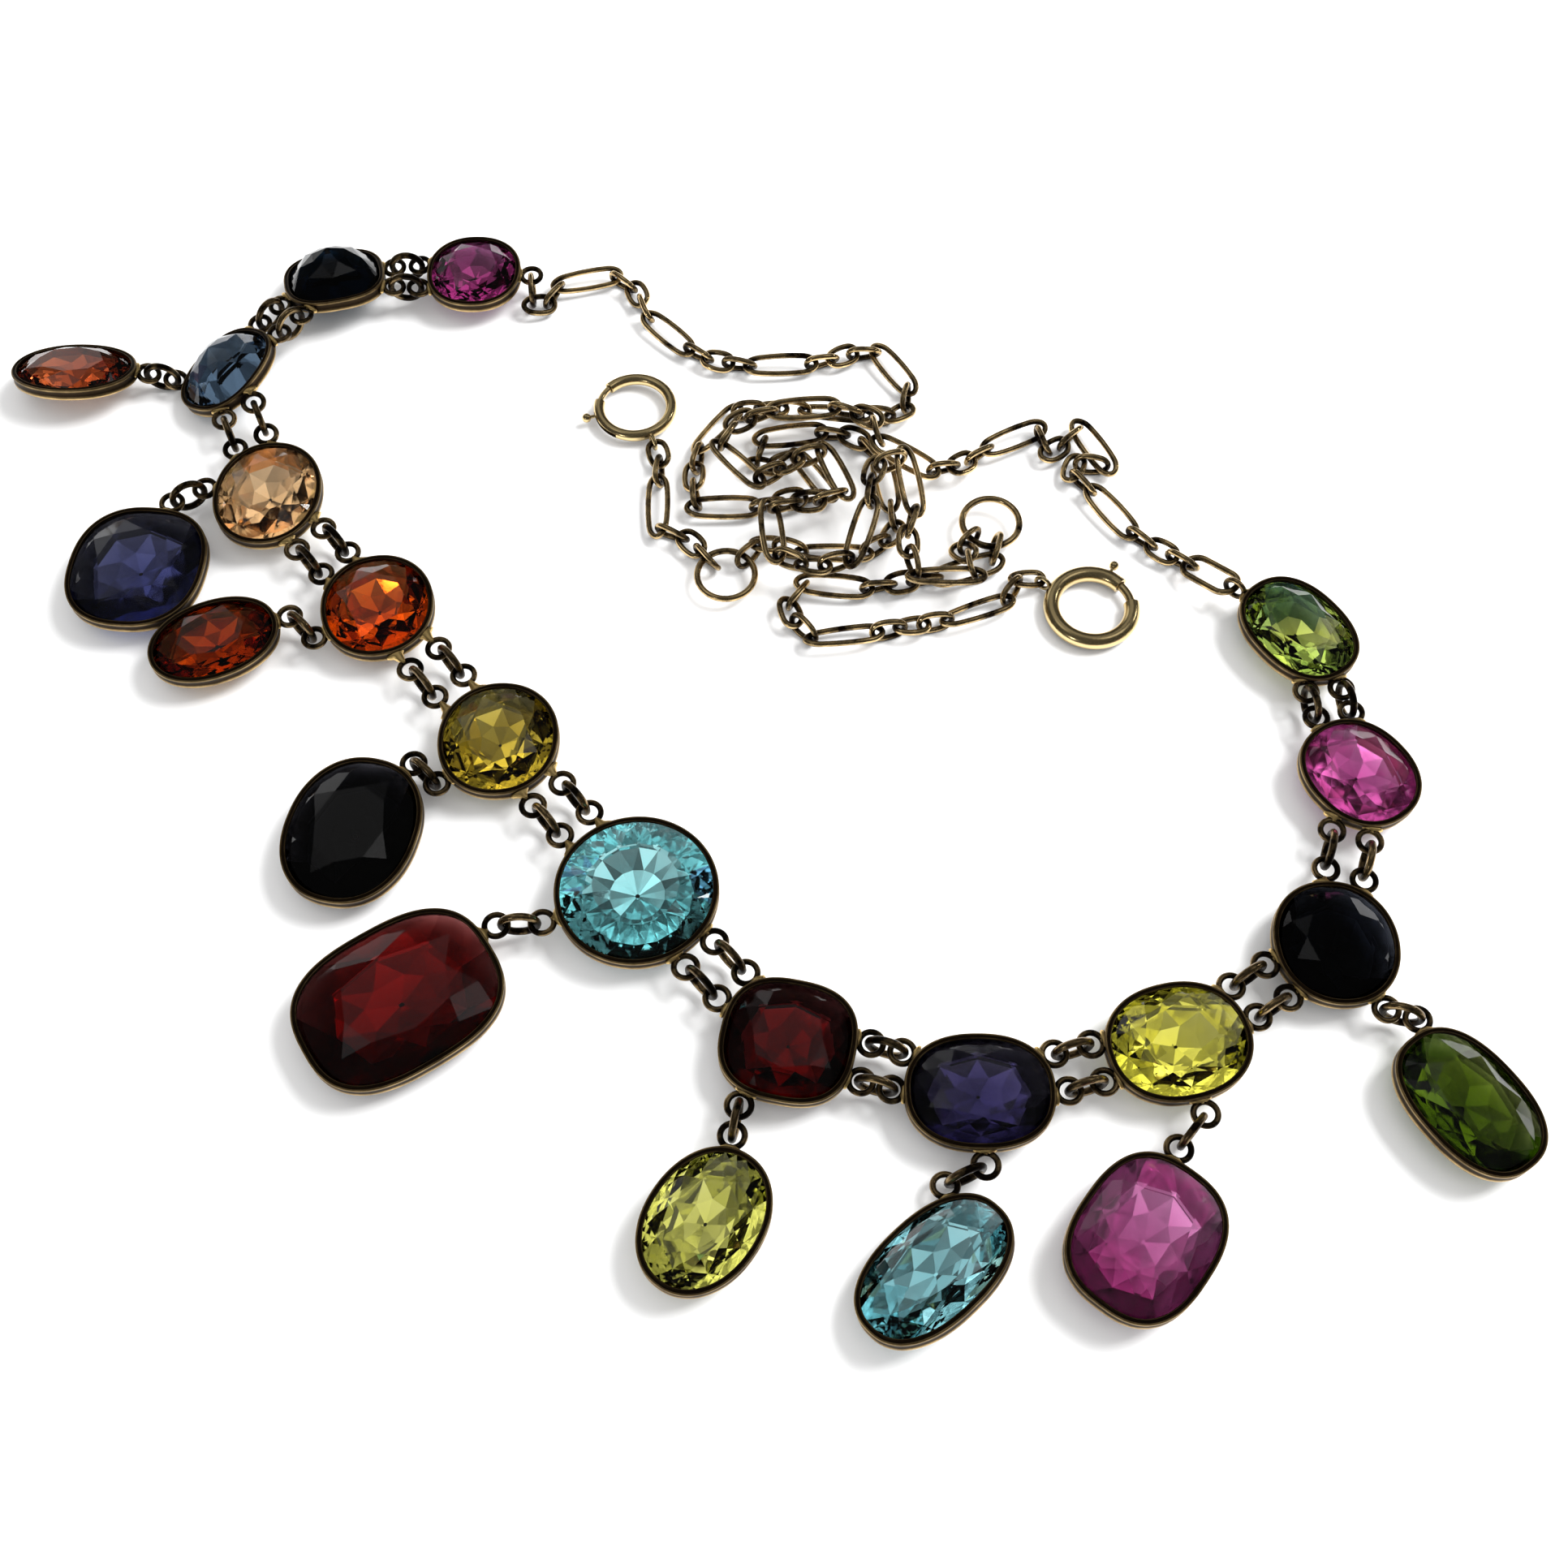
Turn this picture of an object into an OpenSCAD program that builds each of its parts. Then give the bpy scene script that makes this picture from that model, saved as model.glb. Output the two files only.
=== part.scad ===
/* [Stones and settings] */
// Height of the middle of every rim above the surface
rim_z = 2.4; // [2.2:0.1:3]
// Height of a setting's rim, top lip to bottom lip
rim_h = 1.05; // [1:0.05:1.4]
// Thickness of the rim's wall between its lips
rim_wall = 0.3; // [0.25:0.05:0.4]
// How far the two lips reach over the stone
lip = 0.18; // [0.14:0.02:0.24]
// Gap between a stone and its rim's wall
stone_gap = 0.06; // [0.05:0.01:0.08]
// Height of a stone's table above its girdle
crown_h = 1.25; // [1:0.05:1.6]

/* [Jump rings] */
// Wire thickness of the soldered and the loose rings
ring_wire = 0.4; // [0.35:0.05:0.45]
// Outer width of a ring soldered to a rim
soldered_w = 2.2; // [2.1:0.1:2.4]
// Wire thickness of a loose ring between two soldered ones
loose_wire = 0.46; // [0.42:0.02:0.5]
// Outer width of a loose ring between two soldered ones
loose_w = 3.3; // [3.2:0.05:3.4]
// Sideways distance of each of the two strands from the row's middle line
strand_side = 1.5; // [1.3:0.1:1.8]

/* [Chain] */
// Wire thickness of the chain's links
chain_wire = 0.4; // [0.38:0.01:0.42]
// Outer length of a short link
short_l = 3.3; // [3.2:0.05:3.4]
// Outer width of a short link
short_w = 2.12; // [2.08:0.02:2.2]
// Outer length of a long link
long_l = 7; // [6.8:0.05:7.2]
// Outer width of a long link
long_w = 2.2; // [2.16:0.02:2.3]

/* [Clasp rings] */
// Middle radius of the left bolt ring
left_r = 3.3; // [3:0.1:3.6]
// Tube radius of the left bolt ring
left_tube = 0.5; // [0.48:0.02:0.56]
// Middle radius of the right bolt ring
right_r = 3.45; // [3.2:0.1:3.8]
// Tube radius of the right bolt ring
right_tube = 0.68; // [0.6:0.02:0.74]
// Angle through which a bolt slides open
bolt_travel = 44; // [40:1:48]

/* [Hidden] */
stone_colours = [
    ["magenta", "#96327f"], ["midnight", "#10151c"], ["steel", "#465f82"], ["champagne", "#c89b69"],
    ["orange", "#c85014"], ["olive", "#968228"], ["aqua", "#5abec8"], ["garnet", "#460a0f"],
    ["violet", "#2d2850"], ["yellow", "#c8be32"], ["navy", "#0a0f1e"], ["pink", "#be4696"],
    ["green", "#5a8c2d"], ["amber", "#b44b23"], ["indigo", "#2d2d5a"], ["cognac", "#82280a"],
    ["black", "#08080a"], ["red", "#5f1414"], ["lime", "#afaf3c"], ["sky", "#50a0b4"],
    ["rose", "#aa3c82"], ["moss", "#3c5a28"]
];
brass = "#8a6a34";

// Each set stone: name, middle x and y, length, width, turn of its length from +X, squareness of its
// outline (2 is an oval), which face is up (1 table, -1 back), depth of the back below the girdle,
// lean from level, and the direction that it leans to
NAME = 0;
X = 1;
Y = 2;
LEN = 3;
WID = 4;
TURN = 5;
SQUARE = 6;
FACE = 7;
DEEP = 8;
LEAN = 9;
LEAN_TO = 10;
row_stones = [
    ["magenta",   -21.7,  47.1,  8.8,  8.7,   0, 2.2,  1, 2.4,  0,   0],
    ["midnight",  -34.8,  46.3,  9.4,  9.0,  15, 2.6, -1, 3.4, 14, 100],
    ["steel",     -43.2,  35.1,  9.9,  8.1,  62, 2.3, -1, 3.2, 18, 170],
    ["champagne", -37.6,  21.1, 11.0,  9.4,  90, 2.1,  1, 2.4,  0,   0],
    ["orange",    -26.7,   9.3, 10.2,  9.5, 100, 2.1,  1, 2.4,  0,   0],
    ["olive",     -15.5,  -3.6, 10.4,  9.8,  90, 2.1,  1, 2.4,  0,   0],
    ["aqua",       -3.8,   -17, 12.8, 12.6,   0, 2.0,  1, 2.4,  0,   0],
    ["garnet",      7.9, -29.2, 10.2,  9.6, -12, 2.6,  1, 2.4,  0,   0],
    ["violet",     21.9, -33.1, 11.1,  8.8,   0, 2.3,  1, 2.4,  0,   0],
    ["yellow",     36.8, -29.3, 11.0,  9.2,  14, 2.2,  1, 2.4,  0,   0],
    ["navy",       49.6, -21.4, 10.2,  9.6,  90, 2.1,  1, 2.4,  0,   0],
    ["pink",       53.7,  -6.7,  9.9,  8.9, -55, 2.2,  1, 2.4,  0,   0],
    ["green",      50.7,     7, 10.8,  8.3, -55, 2.3,  1, 2.4,  0,   0]
];
drop_stones = [
    ["amber",  -57.2,  35.1, 11.3,  7.9,  -4, 2.1, 1, 2.2, 17,  90],
    ["indigo", -47.7,  13.3, 12.3, 11.7,  85, 2.4, 1, 2.4,  0,   0],
    ["cognac",   -40,   5.9, 10.9,  7.9,  23, 2.1, 1, 2.4,  0,   0],
    ["black",  -26.4, -11.8, 12.9, 10.7,  77, 2.2, 1, 2.4,  0,   0],
    ["red",    -21.3, -25.9, 15.7, 12.3,  33, 2.7, 1, 2.4,  0,   0],
    ["lime",       2, -42.5, 11.2,  8.6,  56, 2.1, 1, 2.4,  0,   0],
    ["sky",     18.1, -45.9, 12.8,  8.0,  42, 2.3, 1, 2.2, 14, 132],
    ["rose",      33, -43.7, 12.4, 10.0,  52, 2.6, 1, 2.3,  4,  60],
    ["moss",    57.5, -33.9, 12.0,  8.6, -55, 2.4, 1, 2.3,  4,  40]
];
stones = concat(row_stones, drop_stones);

// Each drop's strand: drop, stone of the row that it hangs from, the directions in which its rings
// stand at the row's stone and at the drop, and 1 if they stand straight out of their rims there or
// 0 if they stand along the strand
HANG_DROP = 0;
HANG_ROW = 1;
HANG_FROM = 2;
HANG_TO = 3;
HANG_OUT = 4;
hangs = [
    ["amber",  "steel",     181,   2, 0],
    ["indigo", "champagne", 172,  75, 1],
    ["cognac", "orange",    212,  23, 1],
    ["black",  "olive",     221,  56, 1],
    ["red",    "aqua",      200,  42, 1],
    ["lime",   "garnet",    232,  72, 1],
    ["sky",    "violet",    272,  77, 1],
    ["rose",   "yellow",    285,  65, 1],
    ["moss",   "navy",      300, 112, 1]
];

wire_r = ring_wire / 2;
soldered_r = soldered_w / 2 - wire_r;
loose_wire_r = loose_wire / 2;
loose_r = loose_w / 2 - loose_wire_r;
// Middle of a soldered ring from the rim's outside, and the limits of the distance between two
// soldered rings that one loose ring can join with its wire clear of theirs
ring_out = soldered_r + 0.1;
span_min = 2.3;
span_max = 3.5;
outline_points = 40;
girdle_points = 16;
ring_fn = 32;

function rot_z(a, p) = [p.x * cos(a) - p.y * sin(a), p.x * sin(a) + p.y * cos(a), p.z];
function rot_y(a, p) = [p.x * cos(a) + p.z * sin(a), p.y, p.z * cos(a) - p.x * sin(a)];
function unit(v) = v / norm(v);
function named(name) = [for (s = stones) if (s[NAME] == name) s][0];
function colour_of(name) = [for (c = stone_colours) if (c[0] == name) c[1]][0];

// Place of a point of a stone's own level frame, whose +X points to world +X before the lean
function placed(s, p) =
    [s[X], s[Y], rim_z] + rot_z(s[LEAN_TO], rot_y(s[LEAN], rot_z(-s[LEAN_TO], p)));

// Distance from a stone's middle to its rim's outside in the direction az
function rim_radius(s, az, inset = 0) =
    let (c = abs(cos(az - s[TURN])) / (s[LEN] / 2 - inset))
    let (q = abs(sin(az - s[TURN])) / (s[WID] / 2 - inset))
    pow(pow(c, s[SQUARE]) + pow(q, s[SQUARE]), -1 / s[SQUARE]);
function rim_flat(s, az) = rim_radius(s, az) * [cos(az), sin(az), 0];
function rim_point(s, az) = placed(s, rim_flat(s, az));

// Direction straight out of the rim at az
function rim_normal(s, az) =
    let (along = unit(rim_flat(s, az + 1) - rim_flat(s, az - 1)))
    placed(s, [along.y, -along.x, 0]) - placed(s, [0, 0, 0]);

// Outline of a rim or girdle, inset all round, as points at equal steps of the oval's own angle
function outline(s, inset, count) = [
    for (k = [0:count - 1])
        let (t = 360 * k / count)
        let (c = cos(t))
        let (q = sin(t))
        [
            (s[LEN] / 2 - inset) * sign(c) * pow(abs(c), 2 / s[SQUARE]),
            (s[WID] / 2 - inset) * sign(q) * pow(abs(q), 2 / s[SQUARE])
        ]
];

module posed(s) {
    translate([s[X], s[Y], rim_z])
        rotate([0, 0, s[LEAN_TO]])
            rotate([0, s[LEAN], 0])
                rotate([0, 0, s[TURN] - s[LEAN_TO]])
                    children();
}

// Two strands join each stone of the row to the next: [stone a, direction, stone b, direction, 0 as
// their rings stand along the strand]
function towards(a, b) = atan2(b[Y] - a[Y], b[X] - a[X]);
function swing(s, az) = asin(strand_side / rim_radius(s, az));
row_strands = [
    for (k = [0:len(row_stones) - 2])
        for (side = [-1, 1])
            let (a = row_stones[k])
            let (b = row_stones[k + 1])
            let (az = towards(a, b))
            [a, az + side * swing(a, az), b, az + 180 - side * swing(b, az + 180), 0]
];
drop_strands = [
    for (h = hangs) [named(h[HANG_ROW]), h[HANG_FROM], named(h[HANG_DROP]), h[HANG_TO], h[HANG_OUT]]
];

// A strand runs from rim to rim. Its two soldered rings stand as far apart as a loose ring can join,
// and what is left is the length of their lugs
function strand_start(t) = rim_point(t[0], t[1]);
function strand_end(t) = rim_point(t[2], t[3]);
function strand_line(t) = strand_end(t) - strand_start(t);
function start_out(t) = t[4] == 1 ? rim_normal(t[0], t[1]) : unit(strand_line(t));
function end_out(t) = t[4] == 1 ? rim_normal(t[2], t[3]) : -unit(strand_line(t));
function strand_off(t) =
    let (span = norm(strand_line(t) + ring_out * (end_out(t) - start_out(t))))
    let (closing = (start_out(t) - end_out(t)) * unit(strand_line(t)))
    ring_out + (span - max(span_min, min(span_max, span))) / closing;
function start_ring(t) = strand_start(t) + strand_off(t) * start_out(t);
function end_ring(t) = strand_end(t) + strand_off(t) * end_out(t);

// Soldered rings of a setting: [place on the rim, direction out, distance out, 1 if it stands on edge]
first_stone = row_stones[0];
last_stone = row_stones[len(row_stones) - 1];
first_az = -2;
last_az = 138;
function rings_of(name) = concat(
    [for (t = concat(row_strands, drop_strands)) if (t[0][NAME] == name)
        [strand_start(t), start_out(t), strand_off(t), 0]],
    [for (t = concat(row_strands, drop_strands)) if (t[2][NAME] == name)
        [strand_end(t), end_out(t), strand_off(t), 0]],
    name == first_stone[NAME]
        ? [[rim_point(first_stone, first_az), [cos(first_az), sin(first_az), 0], ring_out, 0]] : [],
    name == last_stone[NAME]
        ? [[rim_point(last_stone, last_az), [cos(last_az), sin(last_az), 0], ring_out, 1]] : []
);

module ring(radius, wire, fn = ring_fn) {
    rotate_extrude($fn = fn)
        translate([radius, 0])
            circle(r = wire, $fn = 16);
}

// Turns +X to the direction u and leaves the child's XY plane as level as it can be
module aim(place, u) {
    translate(place)
        rotate([0, 0, atan2(u.y, u.x)])
            rotate([0, -asin(u.z), 0])
                children();
}

lug_r = 0.32;
lug_in = 0.06;
module soldered_ring(r) {
    aim(r[0] + r[2] * r[1], r[1])
        rotate([r[3] * 90, 0, 0])
            ring(soldered_r, wire_r);
    aim(r[0], r[1])
        translate([-lug_in, 0, 0])
            rotate([0, 90, 0])
                cylinder(r = lug_r, h = r[2] - soldered_r + lug_in, $fn = 20);
}

lip_h = 0.18;
module setting(s) {
    color(brass) {
        posed(s)
            difference() {
                translate([0, 0, -rim_h / 2])
                    linear_extrude(rim_h)
                        polygon(outline(s, 0, outline_points));
                translate([0, 0, -rim_h])
                    linear_extrude(2 * rim_h)
                        polygon(outline(s, rim_wall + lip, outline_points));
                translate([0, 0, lip_h - rim_h / 2])
                    linear_extrude(rim_h - 2 * lip_h)
                        polygon(outline(s, rim_wall, outline_points));
            }
        for (r = rings_of(s[NAME]))
            soldered_ring(r);
    }
}

// A cut stone: table, two rows of crown facets, girdle, two rows of back facets and a small culet
function ring_at(points, scale, z) = [for (p = points) [p.x * scale, p.y * scale, z]];
function every_other(list, from) = [for (k = [from:2:len(list) - 1]) list[k]];
module cut_stone(s) {
    inset = rim_wall + stone_gap;
    full = outline(s, inset, girdle_points);
    n = girdle_points;
    h = n / 2;
    edge = 0.12;
    points = concat(
        ring_at(every_other(full, 0), 0.56, edge + crown_h),
        ring_at(every_other(full, 1), 0.8, edge + 0.62 * crown_h),
        ring_at(full, 1, edge),
        ring_at(full, 1, -edge),
        ring_at(every_other(full, 0), 0.66, -0.56 * s[DEEP]),
        ring_at(every_other(full, 0), 0.14, -s[DEEP])
    );
    table_at = 0;
    crown_at = h;
    top_at = 2 * h;
    low_at = 2 * h + n;
    back_at = 2 * h + 2 * n;
    culet_at = 3 * h + 2 * n;
    faces = concat(
        [[for (k = [h - 1:-1:0]) table_at + k]],
        [for (k = [0:h - 1]) [table_at + k, table_at + (k + 1) % h, crown_at + k]],
        [for (k = [0:h - 1]) [table_at + (k + 1) % h, crown_at + (k + 1) % h, crown_at + k]],
        [for (k = [0:h - 1]) [crown_at + k, top_at + (2 * k + 1) % n, top_at + 2 * k]],
        [for (k = [0:h - 1]) [crown_at + k, top_at + (2 * k + 2) % n, top_at + (2 * k + 1) % n]],
        [for (k = [0:h - 1])
            [crown_at + k, crown_at + (k + 1) % h, top_at + (2 * k + 2) % n]],
        [for (k = [0:n - 1]) [top_at + k, top_at + (k + 1) % n, low_at + (k + 1) % n]],
        [for (k = [0:n - 1]) [top_at + k, low_at + (k + 1) % n, low_at + k]],
        [for (k = [0:h - 1]) [low_at + 2 * k, low_at + 2 * k + 1, back_at + k]],
        [for (k = [0:h - 1])
            [low_at + 2 * k + 1, back_at + (k + 1) % h, back_at + k]],
        [for (k = [0:h - 1])
            [low_at + 2 * k + 1, low_at + (2 * k + 2) % n, back_at + (k + 1) % h]],
        [for (k = [0:h - 1]) [back_at + k, back_at + (k + 1) % h, culet_at + k]],
        [for (k = [0:h - 1]) [back_at + (k + 1) % h, culet_at + (k + 1) % h, culet_at + k]],
        [[for (k = [0:h - 1]) culet_at + k]]
    );
    color(colour_of(s[NAME]))
        posed(s)
            rotate([s[FACE] > 0 ? 0 : 180, 0, 0])
                polyhedron(points, faces);
}

// The loose ring of a strand stands on edge between its two soldered rings
module loose_ring(t) {
    aim((start_ring(t) + end_ring(t)) / 2, unit(end_ring(t) - start_ring(t)))
        rotate([90, 0, 0])
            ring(loose_r, loose_wire_r);
}

module row_rings() {
    color(brass)
        for (t = row_strands)
            loose_ring(t);
}

module drop_rings() {
    color(brass)
        for (t = drop_strands)
            loose_ring(t);
}

// Chain links: a pattern of one long and three short. Every other link, the long ones too, lies
// rather flat, and the links between stand, rolled a quarter turn from it. A standing link's end wire
// sits in the middle of the flat link's round end, so the chain can turn there. A pitch runs from one
// such place to the next
chain_r = chain_wire / 2;
flat_roll = 15;
function is_long(k) = k % 4 == 0;
function is_flat(k) = k % 2 == 0;
function half_width(k) = (is_long(k) ? long_w : short_w) / 2 - chain_r;
function half_straight(k) = (is_long(k) ? long_l : short_l) / 2 - chain_r - half_width(k);
function pitch(k) = 2 * half_straight(k) + (is_flat(k) ? 0 : 2 * half_width(k));

// A smooth curve through a route's points, and the joints found along it at one link's pitch each
function curve_point(p, i, t) =
    let (n = len(p) - 1)
    let (a = p[max(i - 1, 0)])
    let (b = p[i])
    let (c = p[min(i + 1, n)])
    let (d = p[min(i + 2, n)])
    0.5 * (2 * b + (c - a) * t + (2 * a - 5 * b + 4 * c - d) * t * t + (3 * b - a - 3 * c + d) * t * t * t);
curve_steps = 12;
function curve(p) = [
    for (i = [0:len(p) - 2])
        for (k = [0:curve_steps - 1])
            curve_point(p, i, k / curve_steps)
];
function seek(path, i, from, d) =
    i >= len(path) - 1 ? [path[len(path) - 1], i]
    : norm(path[i + 1] - from) >= d
        ? let (low = norm(path[i] - from))
          let (high = norm(path[i + 1] - from))
          [path[i] + (path[i + 1] - path[i]) * max(0, d - low) / (high - low), i]
    : seek(path, i + 1, from, d);
function walk(path, first, count, k, i, from) =
    k >= count ? [from]
    : let (next = seek(path, i, from, pitch(first + k)))
      concat([from], walk(path, first, count, k + 1, next[1], next[0]));
// A chain: [route, place of its first link in the pattern, number of links, side its flat links lean to]
ROUTE = 0;
FIRST = 1;
COUNT = 2;
SIDE = 3;
function joints(c) = walk(curve(c[ROUTE]), c[FIRST], c[COUNT], 0, 0, c[ROUTE][0]);

// A link is a wire bent to a long loop with round ends, between the joints a and b
wire_sides = 5;
function link_segments(k) = is_long(k) ? 12 : 10;
function roll_of(c, k) = c[SIDE] * (is_flat(k) ? flat_roll : flat_roll - 90);
function link_frame(a, b, roll) =
    let (u = unit(b - a))
    let (v = unit([-u.y, u.x, 0]))
    let (w = cross(u, v))
    [u, v * cos(roll) + w * sin(roll), w * cos(roll) - v * sin(roll)];
function link_oval(k, a, b, roll, t) =
    let (f = link_frame(a, b, roll))
    (a + b) / 2
        + f[0] * (half_straight(k) * max(-1, min(1, 2 * cos(t))) + half_width(k) * cos(t))
        + f[1] * half_width(k) * sin(t);
function link_points(k, a, b, roll) =
    let (f = link_frame(a, b, roll))
    let (segments = link_segments(k))
    [
        for (i = [0:segments - 1])
            let (t = 360 * (i + 0.5) / segments)
            let (along = unit(link_oval(k, a, b, roll, t + 4) - link_oval(k, a, b, roll, t - 4)))
            let (out = cross(along, f[2]))
            for (j = [0:wire_sides - 1])
                link_oval(k, a, b, roll, t)
                    + chain_r * (out * cos(360 * j / wire_sides) + f[2] * sin(360 * j / wire_sides))
    ];
function tube_faces(segments, base) = [
    for (k = [0:segments - 1])
        for (j = [0:wire_sides - 1])
            let (k2 = (k + 1) % segments)
            let (j2 = (j + 1) % wire_sides)
            let (a = base + k * wire_sides + j)
            let (b = base + k * wire_sides + j2)
            let (c = base + k2 * wire_sides + j2)
            let (d = base + k2 * wire_sides + j)
            for (f = [[a, b, c], [a, c, d]]) f
];
function bases(c) = [
    for (k = 0, base = 0; k < c[COUNT]; base = base + link_segments(c[FIRST] + k) * wire_sides, k = k + 1)
        base
];

module chain(c) {
    j = joints(c);
    at = bases(c);
    points = [
        for (k = [0:c[COUNT] - 1])
            each link_points(c[FIRST] + k, j[k], j[k + 1], roll_of(c, c[FIRST] + k))
    ];
    faces = [
        for (k = [0:c[COUNT] - 1])
            each tube_faces(link_segments(c[FIRST] + k), at[k])
    ];
    color(brass)
        polyhedron(points, faces);
}

// Ends of the chains at the row: a loose ring on edge through the first stone's ring, and a long
// plain link laid rather flat through the last stone's
end_wire = 0.28;
end_half = 2.6;
end_side = 1.2;
first_dir = [cos(-86) * cos(26), sin(-86) * cos(26), -sin(26)];
last_dir = [cos(134) * cos(14), sin(134) * cos(14), -sin(14)];
function first_ring() = rings_of(first_stone[NAME])[len(rings_of(first_stone[NAME])) - 1];
function last_ring() = rings_of(last_stone[NAME])[len(rings_of(last_stone[NAME])) - 1];
function ring_middle(r) = r[0] + r[2] * r[1];
first_end = ring_middle(first_ring()) + loose_r * first_dir;
last_end = ring_middle(last_ring()) + end_half * last_dir;
left_start = first_end + loose_r * first_dir;
right_start = last_end + (end_half - end_side) * last_dir;

module end_links() {
    color(brass) {
        aim(first_end, first_dir)
            rotate([90, 0, 0])
                ring(loose_r, loose_wire_r);
        aim(last_end, last_dir) {
            for (side = [-1, 1])
                translate([side * (end_half - end_side), 0, 0])
                    rotate([0, 0, side > 0 ? -90 : 90])
                        rotate_extrude(angle = 180, $fn = ring_fn)
                            translate([end_side, 0])
                                circle(r = end_wire, $fn = 16);
            for (side = [-1, 1])
                translate([end_side - end_half, side * end_side, 0])
                    rotate([0, 90, 0])
                        cylinder(r = end_wire, h = 2 * (end_half - end_side), $fn = 16);
        }
    }
}

// Plain rings in the chains: [middle, middle radius, wire radius, lean, direction that it leans to]
ring_one = [[2.6, 13.5, 1.2], 2.5, 0.28, 0, 0];
ring_two = [[25.7, 18.9, 1.4], 2.5, 0.3, 2, -90];

module chain_ring(r) {
    translate(r[0])
        rotate([0, 0, r[4]])
            rotate([0, r[3], 0])
                ring(r[1], r[2]);
}

module chain_rings() {
    color(brass) {
        chain_ring(ring_one);
        chain_ring(ring_two);
    }
}

// Bolt rings: [middle, middle radius, tube radius, start and end of the gap, knob, eyelet]
MIDDLE = 0;
RADIUS = 1;
TUBE = 2;
GAP_FROM = 3;
GAP_TO = 4;
KNOB = 5;
EYE = 6;
left_clasp = [[-6, 32.2, 0.95], left_r, left_tube, 138, 170, 196, -66];
right_clasp = [[33.9, 10.3, 0.95], right_r, right_tube, 6, 40, 62, 148];
bore_part = 0.68;
bolt_part = 0.55;
eye_r = 0.62;
eye_wire = 0.18;
stalk_r = 0.16;
knob_r = 0.42;

// A bent wire, drawn a little flat on its inner and outer side
module arc_wire(radius, wire, from, to) {
    rotate([0, 0, from])
        rotate_extrude(angle = to - from, $fn = 72)
            translate([radius, 0])
                intersection() {
                    circle(r = wire, $fn = 24);
                    square([1.84 * wire, 2 * wire], center = true);
                }
}

function eye_middle(c) =
    c[MIDDLE] + (c[RADIUS] + c[TUBE] + eye_r - 0.02) * [cos(c[EYE]), sin(c[EYE]), 0];
function eye_joint(c) = eye_middle(c) + half_width(2) * [cos(c[EYE]), sin(c[EYE]), 0];

module clasp_ring(c) {
    color(brass) {
        translate(c[MIDDLE])
            difference() {
                rotate([0, 0, c[GAP_TO]])
                    rotate_extrude(angle = 360 - c[GAP_TO] + c[GAP_FROM], $fn = 72)
                        translate([c[RADIUS], 0])
                            difference() {
                                circle(r = c[TUBE], $fn = 24);
                                circle(r = c[TUBE] * bore_part, $fn = 24);
                            }
                rotate([0, 0, c[KNOB] - 5])
                    rotate_extrude(angle = bolt_travel + 10, $fn = 72)
                        translate([c[RADIUS] + 0.05, -stalk_r - 0.06])
                            square([c[TUBE] + 0.2, 2 * stalk_r + 0.12]);
            }
        translate(eye_middle(c))
            rotate([0, 0, c[EYE]])
                rotate([90, 0, 0])
                    ring(eye_r, eye_wire);
    }
}

module clasp_bolt(c) {
    color(brass)
        translate(c[MIDDLE]) {
            arc_wire(c[RADIUS], c[TUBE] * bolt_part, c[GAP_FROM] - 8, c[KNOB] + 12);
            rotate([0, 0, c[KNOB]])
                translate([c[RADIUS], 0, 0])
                    rotate([0, 90, 0])
                        cylinder(r = stalk_r, h = c[TUBE] + 0.6, $fn = 20);
            rotate([0, 0, c[KNOB]])
                translate([c[RADIUS] + c[TUBE] + 0.75, 0, 0])
                    sphere(r = knob_r, $fn = 24);
        }
}

// Routes of the chains as they lie, in order from the row or from the clasp
low = 1.05;
high = 3.15;
top = 5.2;
left_chain = [
    [
        left_start, [-14.9, 44.6, low], [-13.5, 47.1, low], [-8.7, 48.2, low], [-6.6, 46.5, low],
        [-5, 42.8, low], [-1, 38.8, low], [2.2, 37.4, low], [6.3, 37, low], [11.2, 37.5, low],
        [14, 38.6, low], [15.4, 38.9, low], [17.8, 37.7, low], [19.2, 33.2, low], [17.4, 31, low],
        [13.2, 31.4, low], [8.4, 31.8, low], [5.5, 31.9, low], [1.8, 30.9, low], [-0.2, 26.4, low],
        [-0.3, 22.2, low], [0.8, 19.6, low], [5.2, 21, low], [8.6, 21.8, low], [11.6, 22.4, low],
        [12.6, 24.4, low], [9.2, 26.4, low], [6.6, 25.2, low], [4.8, 26.2, low], [6, 28.6, low],
        [10.6, 29.2, low], [14, 28.6, low], [16.4, 25.8, low], [17, 21.4, low], [17.4, 18.6, low],
        [16.2, 16.8, low], [14.2, 15.8, low], [9.6, 16, low], [6.6, 16.8, low], [5, 16.4, 1.1],
        [1.4, 11.8, 1.2]
    ],
    2, 46, 1
];
left_tail = [
    [
        eye_joint(left_clasp), [-3.5, 26.2, 1], [-3.6, 23.2, low], [-3.5, 18.6, low], [-1.1, 17.5, low],
        [-0.2, 16.6, 1.1], [3.2, 12.8, 1.2]
    ],
    2, 6, 1
];
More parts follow.
